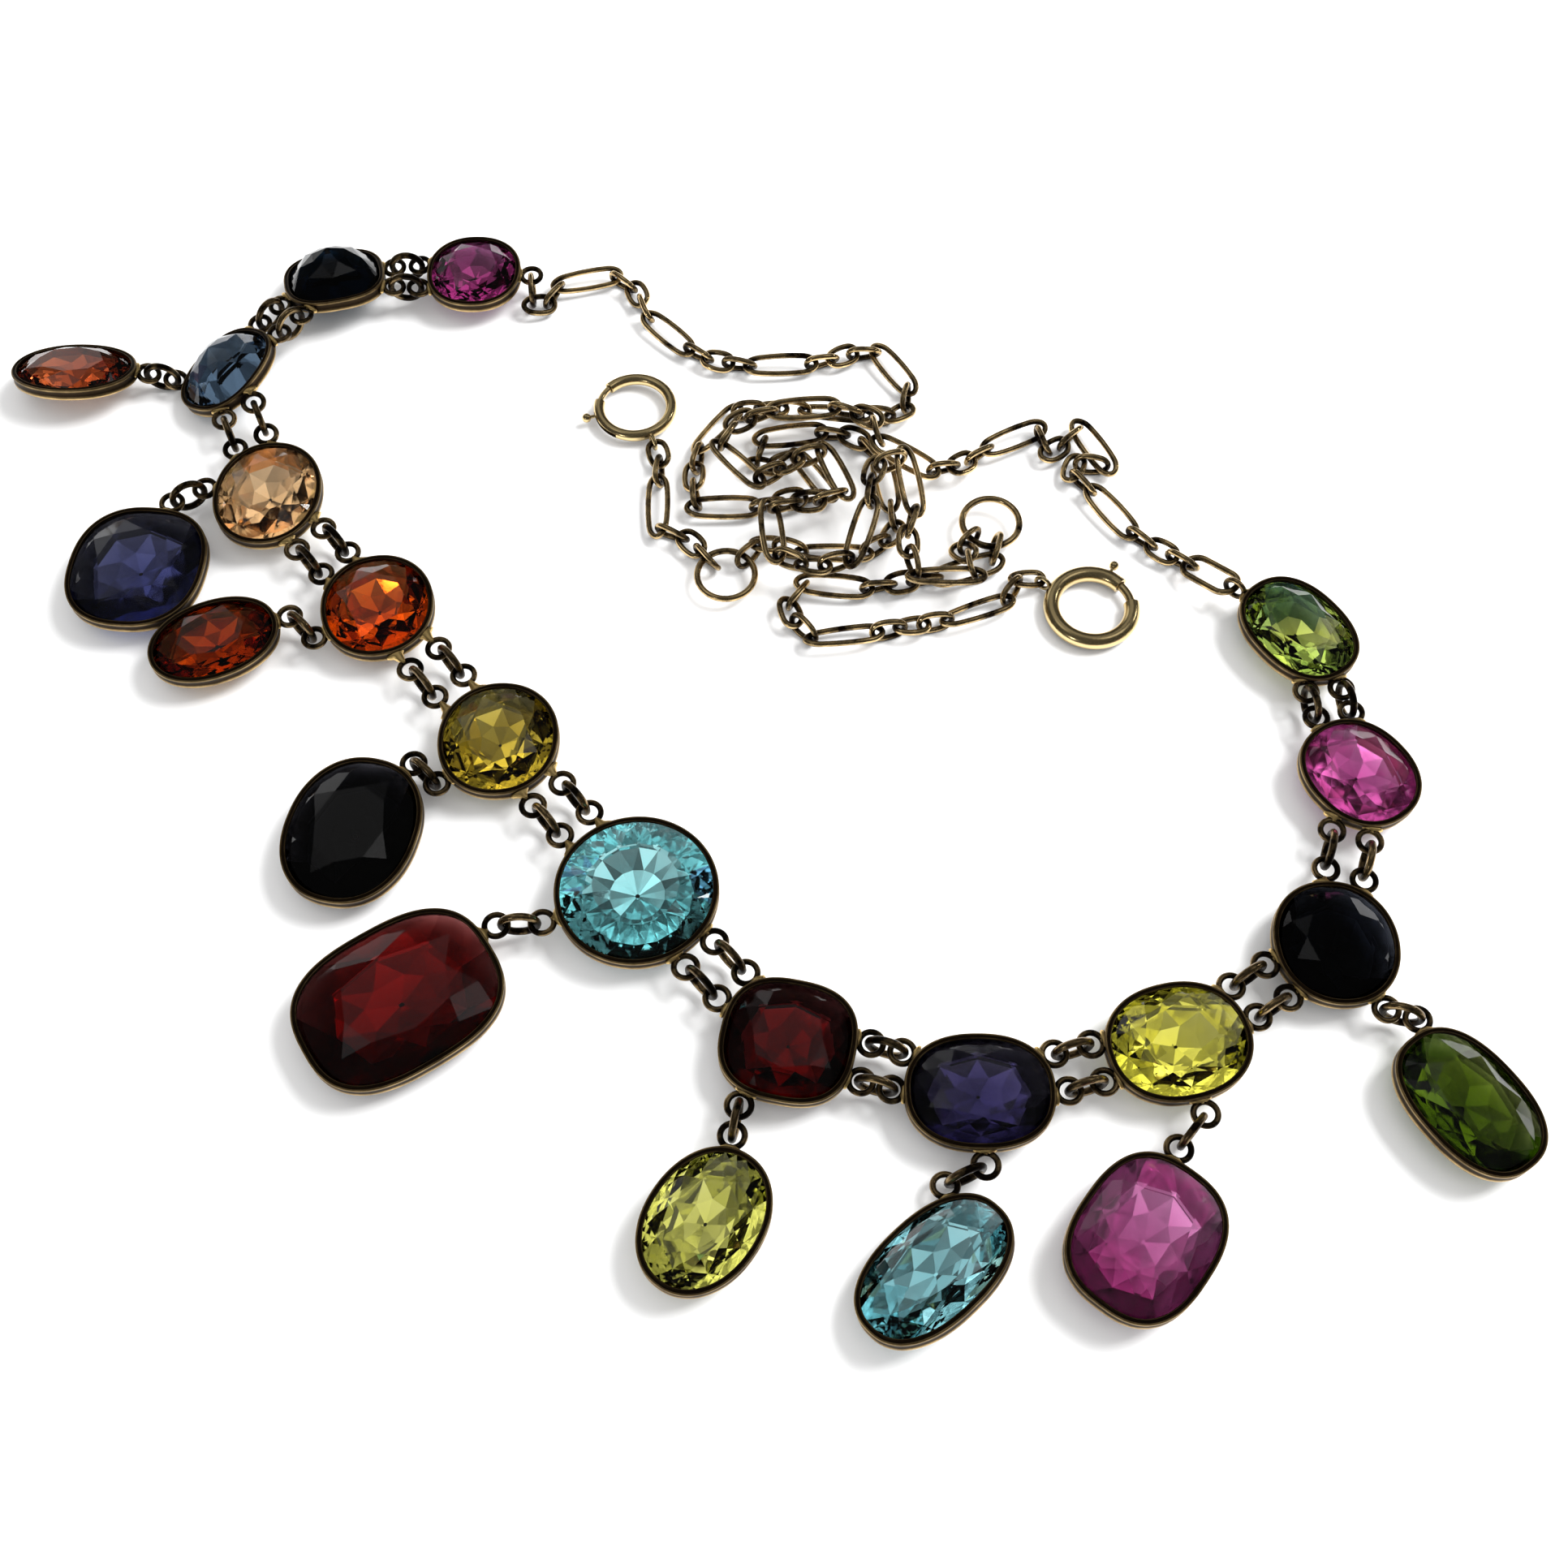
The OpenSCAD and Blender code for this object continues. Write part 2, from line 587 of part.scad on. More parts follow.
right_chain = [
    [
        right_start, [41.5, 15.4, low], [37.9, 18.2, low], [35.1, 22.4, low], [33.3, 24.6, low],
        [33.5, 25.7, low], [36.6, 25.4, low], [34, 30, low], [32.2, 27.2, low], [31, 27.2, low],
        [30, 30, low], [26, 27.2, 1.2], [23.4, 25.2, 1.6], [21.2, 23.8, 2.3], [16.6, 25.4, high],
        [16, 28.6, high], [11.6, 30.4, high], [6.2, 29.8, high], [2.6, 27.8, high], [2.2, 24.2, high],
        [5.6, 22.2, high], [10.2, 25.6, high], [12.8, 23.6, high], [12.6, 20.2, high], [9, 19.8, high],
        [5.2, 18.4, high], [5.8, 15.2, high], [9.4, 13.2, high], [13, 13.4, 3.4], [14.8, 16, 4.3],
        [15, 20, top], [16.2, 23.2, top], [18.6, 23, 4.8], [19, 19.4, 4], [18.2, 15.2, 3.4],
        [19.4, 11.4, high], [22.6, 11, high], [24, 12.8, 3], [23.3, 15.2, 2.2], [23.1, 16.4, 1.5],
        [27.4, 20.6, 0.9]
    ],
    1, 47, -1
];
right_tail = [
    [
        eye_joint(right_clasp), [28, 13.2, 1], [26.4, 10.8, low], [21.8, 9, low], [17.5, 8.2, low],
        [14.6, 7.6, low], [10, 7.1, low], [8.2, 9.4, low], [8.1, 10.6, low], [9.9, 12.9, low],
        [14.6, 12.2, low], [18.6, 13, low], [21.4, 13.4, low], [26, 15.2, 1.1], [26, 20.2, 1.2]
    ],
    2, 16, 1
];

module chain_left() chain(left_chain);
module tail_left() chain(left_tail);
module chain_right() chain(right_chain);
module tail_right() chain(right_tail);
module bolt_ring_left() clasp_ring(left_clasp);
module bolt_ring_right() clasp_ring(right_clasp);
module bolt_left() clasp_bolt(left_clasp);
module bolt_right() clasp_bolt(right_clasp);

for (s = stones) setting(s);
for (s = stones) cut_stone(s);
row_rings();
drop_rings();
end_links();
chain_left();
tail_left();
chain_right();
tail_right();
chain_rings();
bolt_ring_left();
bolt_ring_right();
bolt_left();
bolt_right();
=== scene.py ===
import math
import random

import bpy
import numpy as np
from mathutils import Matrix, Vector


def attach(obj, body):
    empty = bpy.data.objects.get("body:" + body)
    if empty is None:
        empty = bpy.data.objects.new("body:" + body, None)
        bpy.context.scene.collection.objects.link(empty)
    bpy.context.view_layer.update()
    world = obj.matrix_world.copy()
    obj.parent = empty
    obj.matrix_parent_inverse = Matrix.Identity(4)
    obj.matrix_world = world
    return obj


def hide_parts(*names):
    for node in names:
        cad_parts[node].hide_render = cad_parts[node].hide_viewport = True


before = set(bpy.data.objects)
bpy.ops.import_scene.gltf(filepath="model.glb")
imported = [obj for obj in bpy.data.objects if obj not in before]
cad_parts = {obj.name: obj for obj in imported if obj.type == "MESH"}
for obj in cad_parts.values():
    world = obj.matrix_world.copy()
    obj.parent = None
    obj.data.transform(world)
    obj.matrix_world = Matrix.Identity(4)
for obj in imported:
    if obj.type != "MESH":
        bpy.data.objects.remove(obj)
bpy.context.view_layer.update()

# All shapes are made in millimetres and set in place in metres
MM = 0.001
scene = bpy.context.scene

# Sizes, in millimetres. A rim: height of its middle above the surface, its own height and wall.
# A stone: the gap to its rim's wall, and its table above its edge
RIM_Z = 2.4
RIM_H = 1.05
RIM_WALL = 0.3
STONE_GAP = 0.06
CROWN_H = 1.25
# A soldered ring: radius of its wire and of its middle line, and its middle out from the rim
RING_WIRE_R = 0.24
SOLDERED_R = 0.9
RING_OUT = SOLDERED_R + 0.1
# Each of two strands from the row's middle line, and the least and most between a strand's rings
STRAND_SIDE = 1.5
SPAN_MIN = 2.3
SPAN_MAX = 3.5
# The chains: radius of the wire, and length and width of the links
CHAIN_WIRE_R = 0.26
SHORT_LINK = (3.42, 2.24)
LONG_LINK = (7.12, 2.32)

# Each set stone: name, middle x and y, length, width, turn, squareness, face up, depth of the back,
# lean and the direction of the lean, as in the frame
STONES = [
    ("magenta", -21.7, 47.1, 8.8, 8.7, 0, 2.2, 1, 2.4, 0, 0),
    ("midnight", -34.8, 46.3, 9.4, 9.0, 15, 2.6, -1, 3.4, 14, 100),
    ("steel", -43.2, 35.1, 9.9, 8.1, 62, 2.3, -1, 3.2, 18, 170),
    ("champagne", -37.6, 21.1, 11.0, 9.4, 90, 2.1, 1, 2.4, 0, 0),
    ("orange", -26.7, 9.3, 10.2, 9.5, 100, 2.1, 1, 2.4, 0, 0),
    ("olive", -15.5, -3.6, 10.4, 9.8, 90, 2.1, 1, 2.4, 0, 0),
    ("aqua", -3.8, -17.0, 12.8, 12.6, 0, 2.0, 1, 2.4, 0, 0),
    ("garnet", 7.9, -29.2, 10.2, 9.6, -12, 2.6, 1, 2.4, 0, 0),
    ("violet", 21.9, -33.1, 11.1, 8.8, 0, 2.3, 1, 2.4, 0, 0),
    ("yellow", 36.8, -29.3, 11.0, 9.2, 14, 2.2, 1, 2.4, 0, 0),
    ("navy", 49.6, -21.4, 10.2, 9.6, 90, 2.1, 1, 2.4, 0, 0),
    ("pink", 53.7, -6.7, 9.9, 8.9, -55, 2.2, 1, 2.4, 0, 0),
    ("green", 50.7, 7.0, 10.8, 8.3, -55, 2.3, 1, 2.4, 0, 0),
    ("amber", -57.2, 35.1, 11.3, 7.9, -4, 2.1, 1, 2.2, 17, 90),
    ("indigo", -47.7, 13.3, 12.3, 11.7, 85, 2.4, 1, 2.4, 0, 0),
    ("cognac", -40.0, 5.9, 10.9, 7.9, 23, 2.1, 1, 2.4, 0, 0),
    ("black", -26.4, -11.8, 12.9, 10.7, 77, 2.2, 1, 2.4, 0, 0),
    ("red", -21.3, -25.9, 15.7, 12.3, 33, 2.7, 1, 2.4, 0, 0),
    ("lime", 2.0, -42.5, 11.2, 8.6, 56, 2.1, 1, 2.4, 0, 0),
    ("sky", 18.1, -45.9, 12.8, 8.0, 42, 2.3, 1, 2.2, 14, 132),
    ("rose", 33.0, -43.7, 12.4, 10.0, 52, 2.6, 1, 2.3, 4, 60),
    ("moss", 57.5, -33.9, 12.0, 8.6, -55, 2.4, 1, 2.3, 4, 40),
]
ROW_COUNT = 13

# Each drop's strand: drop, stone of the row, the directions of its rings at both, and whether they
# stand straight out of their rims
HANGS = [
    ("amber", "steel", 181, 2, False),
    ("indigo", "champagne", 172, 75, True),
    ("cognac", "orange", 212, 23, True),
    ("black", "olive", 221, 56, True),
    ("red", "aqua", 200, 42, True),
    ("lime", "garnet", 232, 72, True),
    ("sky", "violet", 272, 77, True),
    ("rose", "yellow", 285, 65, True),
    ("moss", "navy", 300, 112, True),
]
# Directions of the rings that hold the chains, on the first and the last stone of the row
FIRST_AZ = -2
LAST_AZ = 138

# Zones of a stone's facets, from its front to the middle of its back
TABLE, CROWN, OUTER, MIDDLE, INNER = range(5)

# Each stone's glass. through: what light keeps of each colour after 4 mm. backs: painted light and
# shade of its outer, middle and inner back facets, darker towards the edge, and spread: how far
# single ones differ at random. mirror: the part of the light that the back mirrors. ior: how much
# it
# bends and mirrors light. soft: wear of the surface. mains: main facets round it, where there
# aren't
# eight. rays: how much darker every other back facet is, a painted star of reflections. fade: a
# direction in degrees and the colour of the painted shade that the front fades to that way.
# patches:
# zone, from and to direction, and colour of back facets that stand out as painted glints and
# painted shade
LOOKS = {
    "magenta": {
        "through": (0.69, 0.24, 0.5), "backs": (0.7, 0.85, 0.95), "spread": 0.4,
        "fade": (90, (0.6, 0.45, 0.6)),
        "patches": [(MIDDLE, 15, 165, (0.45, 0.38, 0.45)), (OUTER, 40, 150, (0.8, 0.7, 0.85))]},
    "midnight": {
        "through": (0.012, 0.03, 0.055), "backs": (0.4, 0.6, 0.8), "spread": 0.7, "mirror": 0.0,
        "ior": 1.36},
    "steel": {
        "through": (0.27, 0.36, 0.46), "backs": (0.7, 0.85, 0.9), "spread": 0.5, "mirror": 0.0,
        "patches": [(MIDDLE, 170, 230, (0.9, 0.6, 0.7))]},
    "champagne": {
        "through": (0.93, 0.74, 0.52), "backs": (0.85, 0.95, 1), "spread": 0.25, "soft": 0.05,
        "patches": [
            (OUTER, 60, 130, (1, 0.6, 0.3)), (OUTER, 330, 20, (0.75, 0.8, 0.5)),
            (MIDDLE, 300, 20, (0.75, 0.78, 0.8))]},
    "orange": {
        "through": (0.78, 0.26, 0.05), "backs": (0.55, 0.8, 0.9), "spread": 0.45,
        "patches": [(MIDDLE, 150, 240, (1, 0.95, 0.6)), (OUTER, 50, 130, (0.9, 0.7, 0.7))]},
    "olive": {
        "through": (0.85, 0.73, 0.24), "backs": (0.6, 0.85, 0.95), "spread": 0.55,
        "patches": [
            (MIDDLE, 160, 230, (1, 0.95, 0.3)), (MIDDLE, 350, 40, (0.15, 0.16, 0.2)),
            (OUTER, 90, 160, (0.4, 0.45, 0.5)), (MIDDLE, 40, 90, (0.9, 0.85, 0.6))]},
    "aqua": {
        "through": (0.6, 0.93, 0.95), "backs": (0.95, 1, 1), "spread": 0.5, "mirror": 0.8,
        "mains": 16, "rays": 0.6, "patches": [(OUTER, 350, 25, (0.8, 0.65, 1))]},
    "garnet": {
        "through": (0.33, 0.018, 0.02), "backs": (0.03, 0.7, 1), "spread": 0.4, "ior": 1.45,
        "soft": 0.06},
    "violet": {
        "through": (0.18, 0.16, 0.33), "backs": (0.04, 0.85, 0.95), "spread": 0.25, "ior": 1.45,
        "soft": 0.08},
    "yellow": {
        "through": (0.99, 0.96, 0.36), "backs": (0.85, 1, 1), "spread": 0.2,
        "patches": [(OUTER, 90, 200, (0.7, 0.72, 0.5))]},
    "navy": {
        "through": (0.003, 0.004, 0.008), "backs": (0.1, 0.6, 0.8), "spread": 0.6, "mirror": 0.0,
        "ior": 1.36},
    "pink": {
        "through": (0.9, 0.36, 0.7), "backs": (0.8, 0.95, 1), "spread": 0.3, "soft": 0.1,
        "patches": [(OUTER, 0, 90, (0.4, 0.1, 0.15))]},
    "green": {
        "through": (0.97, 0.98, 0.44), "backs": (0.75, 0.95, 1), "spread": 0.3,
        "fade": (100, (0.19, 0.38, 0.34)),
        "patches": [
            (OUTER, 190, 290, (1, 1, 0.8)), (MIDDLE, 190, 290, (1, 1, 0.8)),
            (INNER, 190, 290, (1, 1, 0.8)), (OUTER, 20, 170, (0.08, 0.15, 0.2)),
            (MIDDLE, 20, 170, (0.16, 0.26, 0.3))]},
    "amber": {
        "through": (0.66, 0.26, 0.12), "backs": (0.4, 0.85, 0.9), "spread": 0.3},
    "indigo": {
        "through": (0.22, 0.235, 0.41), "backs": (0.08, 0.85, 1), "spread": 0.3, "ior": 1.45,
        "soft": 0.08, "patches": [(OUTER, 240, 300, (0.2, 0.3, 0.9))]},
    "cognac": {
        "through": (0.66, 0.19, 0.03), "backs": (0.4, 0.75, 0.9), "spread": 0.4,
        "fade": (90, (0.55, 0.4, 0.3)),
        "patches": [(OUTER, 240, 320, (1, 0.9, 0.4)), (MIDDLE, 240, 320, (1, 0.8, 0.4))]},
    "black": {
        "through": (0.003, 0.003, 0.005), "backs": (0.2, 0.6, 0.8), "spread": 0.5, "mirror": 0.0,
        "ior": 1.46},
    "red": {
        "through": (0.5, 0.02, 0.018), "backs": (0.2, 0.75, 1), "spread": 0.4, "ior": 1.45,
        "soft": 0.06, "fade": (270, (0.12, 0.06, 0.06)),
        "patches": [(OUTER, 40, 140, (0.7, 0.6, 0.6)), (OUTER, 200, 340, (0.02, 0.02, 0.02))]},
    "lime": {
        "through": (0.87, 0.87, 0.41), "backs": (0.8, 0.95, 1), "spread": 0.35,
        "patches": [(MIDDLE, 0, 70, (0.7, 0.7, 0.45))]},
    "sky": {
        "through": (0.53, 0.82, 0.86), "backs": (0.7, 0.85, 0.95), "spread": 0.5,
        "patches": [
            (OUTER, 200, 260, (1, 1, 1)), (OUTER, 340, 20, (1, 0.6, 0.3)),
            (MIDDLE, 190, 250, (1, 1, 1))]},
    "rose": {
        "through": (0.98, 0.52, 0.82), "backs": (0.55, 1, 1), "spread": 0.25, "mirror": 0.7,
        "soft": 0.1, "fade": (215, (0.42, 0.15, 0.3)),
        "patches": [(OUTER, 180, 270, (0.08, 0.02, 0.06)), (OUTER, 20, 120, (0.55, 0.4, 0.5))]},
    "moss": {
        "through": (0.285, 0.385, 0.052), "backs": (0.5, 0.85, 0.95), "spread": 0.35, "soft": 0.05,
        "fade": (235, (0.35, 0.4, 0.3)), "patches": [(OUTER, 70, 160, (0.8, 0.9, 0.8))]},
}


class SetStone:
    """One stone with its rim: its outline, and its place in the necklace."""

    def __init__(self, row):
        (self.name, self.x, self.y, self.length, self.width, self.turn, self.square,
         self.face, self.deep, self.lean, self.lean_to) = row
        lean = Matrix.Rotation(math.radians(self.lean_to), 4, "Z") @ Matrix.Rotation(
            math.radians(self.lean), 4, "Y")
        self.level = (Matrix.Translation((self.x, self.y, RIM_Z)) @ lean
                      @ Matrix.Rotation(math.radians(-self.lean_to), 4, "Z"))
        self.place = self.level @ Matrix.Rotation(math.radians(self.turn), 4, "Z")

    def radius(self, direction):
        c = abs(math.cos(math.radians(direction - self.turn))) / (self.length / 2)
        q = abs(math.sin(math.radians(direction - self.turn))) / (self.width / 2)
        return (c ** self.square + q ** self.square) ** (-1 / self.square)

    def rim_flat(self, direction):
        a = math.radians(direction)
        return self.radius(direction) * Vector((math.cos(a), math.sin(a), 0))

    def rim_point(self, direction):
        return self.level @ self.rim_flat(direction)

    def rim_normal(self, direction):
        along = (self.rim_flat(direction + 1) - self.rim_flat(direction - 1)).normalized()
        return self.level.to_3x3() @ Vector((along.y, -along.x, 0))

    def outline(self, inset, count):
        points = []
        for k in range(count):
            t = 2 * math.pi * k / count
            c, q = math.cos(t), math.sin(t)
            points.append((
                (self.length / 2 - inset) * math.copysign(abs(c) ** (2 / self.square), c),
                (self.width / 2 - inset) * math.copysign(abs(q) ** (2 / self.square), q),
            ))
        return points


set_stones = {row[0]: SetStone(row) for row in STONES}
row_stones = [set_stones[row[0]] for row in STONES[:ROW_COUNT]]


# Strands of rings between the settings

class Strand:
    """A soldered ring, a loose ring on edge and a soldered ring between two settings."""

    def __init__(self, a, from_az, b, to_az, straight_out=False):
        self.a, self.b = a, b
        self.start = a.rim_point(from_az)
        self.end = b.rim_point(to_az)
        line = self.end - self.start
        way = line.normalized()
        self.start_out = a.rim_normal(from_az) if straight_out else way
        self.end_out = b.rim_normal(to_az) if straight_out else -way
        span = (line + RING_OUT * (self.end_out - self.start_out)).length
        closing = (self.start_out - self.end_out).dot(way)
        self.off = RING_OUT + (span - max(SPAN_MIN, min(SPAN_MAX, span))) / closing


def strands():
    found = []
    for a, b in zip(row_stones, row_stones[1:]):
        az = math.degrees(math.atan2(b.y - a.y, b.x - a.x))
        for side in (-1, 1):
            swing_a = math.degrees(math.asin(STRAND_SIDE / a.radius(az)))
            swing_b = math.degrees(math.asin(STRAND_SIDE / b.radius(az + 180)))
            found.append(Strand(a, az + side * swing_a, b, az + 180 - side * swing_b))
    for drop, carrier, from_az, to_az, straight_out in HANGS:
        found.append(Strand(set_stones[carrier], from_az, set_stones[drop], to_az, straight_out))
    return found


all_strands = strands()


def soldered_rings(stone):
    """The rings on a setting's rim: place on it, direction out, distance out, on edge or not."""
    rings = []
    for s in all_strands:
        if s.a is stone:
            rings.append((s.start, s.start_out, s.off, False))
    for s in all_strands:
        if s.b is stone:
            rings.append((s.end, s.end_out, s.off, False))
    for end_stone, az, on_edge in (
            (row_stones[0], FIRST_AZ, False), (row_stones[-1], LAST_AZ, True)):
        if stone is end_stone:
            out = Vector((math.cos(math.radians(az)), math.sin(math.radians(az)), 0))
            rings.append((stone.rim_point(az), out, RING_OUT, on_edge))
    return rings


# Helpers

def material(name):
    made = bpy.data.materials.new(name)
    made.use_nodes = True
    made.node_tree.nodes.clear()
    return made, made.node_tree


def wire_up(tree, kind, inputs=None, **settings):
    """A node with its settings and its inputs, each a value or another node's output."""
    node = tree.nodes.new(kind)
    for key, value in settings.items():
        setattr(node, key, value)
    for key, value in (inputs or {}).items():
        socket = node.inputs[key]
        if isinstance(value, bpy.types.NodeSocket):
            tree.links.new(value, socket)
        elif isinstance(value, bpy.types.Node):
            tree.links.new(value.outputs[0], socket)
        else:
            socket.default_value = value
    return node


def mesh_object(name, points, faces, smooth=False):
    mesh = bpy.data.meshes.new(name)
    mesh.from_pydata([tuple(p) for p in points], [], faces)
    mesh.validate()
    mesh.polygons.foreach_set("use_smooth", [smooth] * len(mesh.polygons))
    made = bpy.data.objects.new(name, mesh)
    scene.collection.objects.link(made)
    return made


def set_in_place(piece, matrix=Matrix.Identity(4)):
    piece.data.transform(Matrix.Scale(MM, 4) @ matrix)
    return piece


def aimed(place, direction):
    """A frame at a place whose X points along a direction and whose Y stays level."""
    x = direction.normalized()
    y = Vector((-x.y, x.x, 0)).normalized()
    z = x.cross(y)
    turn = Matrix((x, y, z)).transposed().to_4x4()
    return Matrix.Translation(place) @ turn


def joined(name, pieces):
    """Several meshes made one object, each already in place."""
    with bpy.context.temp_override(active_object=pieces[0], selected_editable_objects=pieces):
        bpy.ops.object.join()
    pieces[0].name = name
    pieces[0].data.name = name
    return pieces[0]


def node_shape(name, sizes):
    """An empty Geometry Nodes tree with named sizes, and its input and output nodes."""
    tree = bpy.data.node_groups.new(name, "GeometryNodeTree")
    tree.interface.new_socket("Geometry", in_out="INPUT", socket_type="NodeSocketGeometry")
    for label, kind, value in sizes:
        socket = tree.interface.new_socket(label, in_out="INPUT", socket_type=kind)
        if value is not None:
            socket.default_value = value
    tree.interface.new_socket("Geometry", in_out="OUTPUT", socket_type="NodeSocketGeometry")
    return tree, tree.nodes.new("NodeGroupInput"), tree.nodes.new("NodeGroupOutput")


def made_from(tree, name, seed_mesh, sizes):
    """Runs a Geometry Nodes tree on a seed mesh and keeps the result as a plain mesh."""
    seed = bpy.data.objects.new(name + "_seed", seed_mesh)
    scene.collection.objects.link(seed)
    modifier = seed.modifiers.new("shape", "NODES")
    modifier.node_group = tree
    for item in tree.interface.items_tree:
        if item.item_type == "SOCKET" and item.in_out == "INPUT" and item.name in sizes:
            modifier[item.identifier] = sizes[item.name]
    graph = bpy.context.evaluated_depsgraph_get()
    mesh = bpy.data.meshes.new_from_object(seed.evaluated_get(graph))
    bpy.data.objects.remove(seed)
    made = bpy.data.objects.new(name, mesh)
    mesh.name = name
    scene.collection.objects.link(made)
    return made


def loose_parts(node):
    """The separate shells of a frame node, each as an array of its points in millimetres."""
    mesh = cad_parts[node].data
    points = np.zeros(len(mesh.vertices) * 3)
    mesh.vertices.foreach_get("co", points)
    points = points.reshape(-1, 3) / MM
    unique, index = np.unique(np.round(points, 4), axis=0, return_inverse=True)
    index = index.reshape(-1)
    parent = list(range(len(unique)))

    def root(i):
        while parent[i] != i:
            parent[i] = parent[parent[i]]
            i = parent[i]
        return i

    for polygon in mesh.polygons:
        corners = [index[v] for v in polygon.vertices]
        for other in corners[1:]:
            parent[root(other)] = root(corners[0])
    groups = {}
    for i in range(len(unique)):
        groups.setdefault(root(i), []).append(i)
    return [unique[g] for g in groups.values()]


def axes_of(points):
    """Middle of a loose part and its axes, from its longest extent to its shortest."""
    middle = points.mean(0)
    spread = (points - middle).T @ (points - middle)
    values, vectors = np.linalg.eigh(spread)
    along, across = vectors[:, 2], vectors[:, 1]
    if along[np.argmax(np.abs(along))] < 0:
        along = -along
    if across[np.argmax(np.abs(across))] < 0:
        across = -across
    length = np.ptp((points - middle) @ along)
    return middle, along, across, length


# Materials

# Grain of the brass: how many patches of patina and how many fine spots fit in a metre
PATINA_SCALE = 420.0
GRAIN_SCALE = 2600.0
GRAIN_DEPTH = 0.00004
# Painted shade: how near, in metres, a neighbour darkens a place, and how open a place is from
# fully shaded to unshaded
PAINTED_SHADE_REACH = 0.0009
PAINTED_SHADE_OPEN = (0.35, 0.95)
# How much rougher the patina is than the rubbed metal
PATINA_ROUGHER = 0.25


def brass_finish(name, bright, dark, patina_and_shade_range, shine, with_rim_painted_light=False):
    """Antique brass: bright where it is rubbed, dark with painted shade in the hollows and where
    parts are near, with patches of patina.
    """
    made, tree = material(name)
    place = wire_up(tree, "ShaderNodeTexCoord").outputs["Object"]
    patches = wire_up(tree, "ShaderNodeTexNoise", {
        "Vector": place, "Scale": PATINA_SCALE, "Detail": 4.0, "Roughness": 0.6})
    grain = wire_up(tree, "ShaderNodeTexNoise", {
        "Vector": place, "Scale": GRAIN_SCALE, "Detail": 3.0, "Roughness": 0.7})
    # Painted shade: ambient occlusion darkens the brass where parts lie near each other
    painted_shade_occlusion = wire_up(tree, "ShaderNodeAmbientOcclusion", {"Distance": PAINTED_SHADE_REACH}, samples=6)
    painted_shade_factor = wire_up(tree, "ShaderNodeMapRange", {
        "Value": painted_shade_occlusion.outputs["AO"], "From Min": PAINTED_SHADE_OPEN[0], "From Max": PAINTED_SHADE_OPEN[1]})
    # From dark to bright: patina patches times the painted shade
    rub_and_painted_light = wire_up(tree, "ShaderNodeMath", {
        0: painted_shade_factor.outputs["Result"], 1: patches.outputs["Fac"]}, operation="MULTIPLY")
    # Rims: painted highlights on the outer wall and top edge, painted shade in channel and groove
    if with_rim_painted_light:
        crest = wire_up(tree, "ShaderNodeAttribute", attribute_name="crest")
        rub_and_painted_light = wire_up(tree, "ShaderNodeMath", {
            0: rub_and_painted_light, 1: crest.outputs["Fac"]}, operation="MULTIPLY")
    rub_and_painted_light = wire_up(tree, "ShaderNodeMapRange", {
        "Value": rub_and_painted_light.outputs[0], "From Min": patina_and_shade_range[0], "From Max": patina_and_shade_range[1]})
    colour = wire_up(tree, "ShaderNodeMix", {
        "Factor": rub_and_painted_light.outputs["Result"], "A": (*dark, 1), "B": (*bright, 1)}, data_type="RGBA")
    rough = wire_up(tree, "ShaderNodeMapRange", {
        "Value": rub_and_painted_light.outputs["Result"], "To Min": shine + PATINA_ROUGHER, "To Max": shine})
    bump = wire_up(tree, "ShaderNodeBump", {
        "Height": grain.outputs["Fac"], "Strength": 0.25, "Distance": GRAIN_DEPTH})
    shader = wire_up(tree, "ShaderNodeBsdfPrincipled", {
        "Base Color": colour.outputs["Result"], "Metallic": 1.0,
        "Roughness": rough.outputs["Result"], "Normal": bump.outputs["Normal"]})
    wire_up(tree, "ShaderNodeOutputMaterial", {"Surface": shader})
    return made


# A stone's colour comes in part from its facets and in part from the depth of its glass: the powers
# of "through" that each takes, and the depth that "through" is given for
FACET_SHARE = 0.25
DEPTH_SHARE = 0.75
GLASS_PATH = 4 * MM
GLASS_IOR = 1.56
# Worn spots in a metre, how much rougher they are than the glass, and their depth
WEAR_SCALE = 900.0
WEAR_ROUGHER = 0.07
WEAR_DEPTH = 0.00003


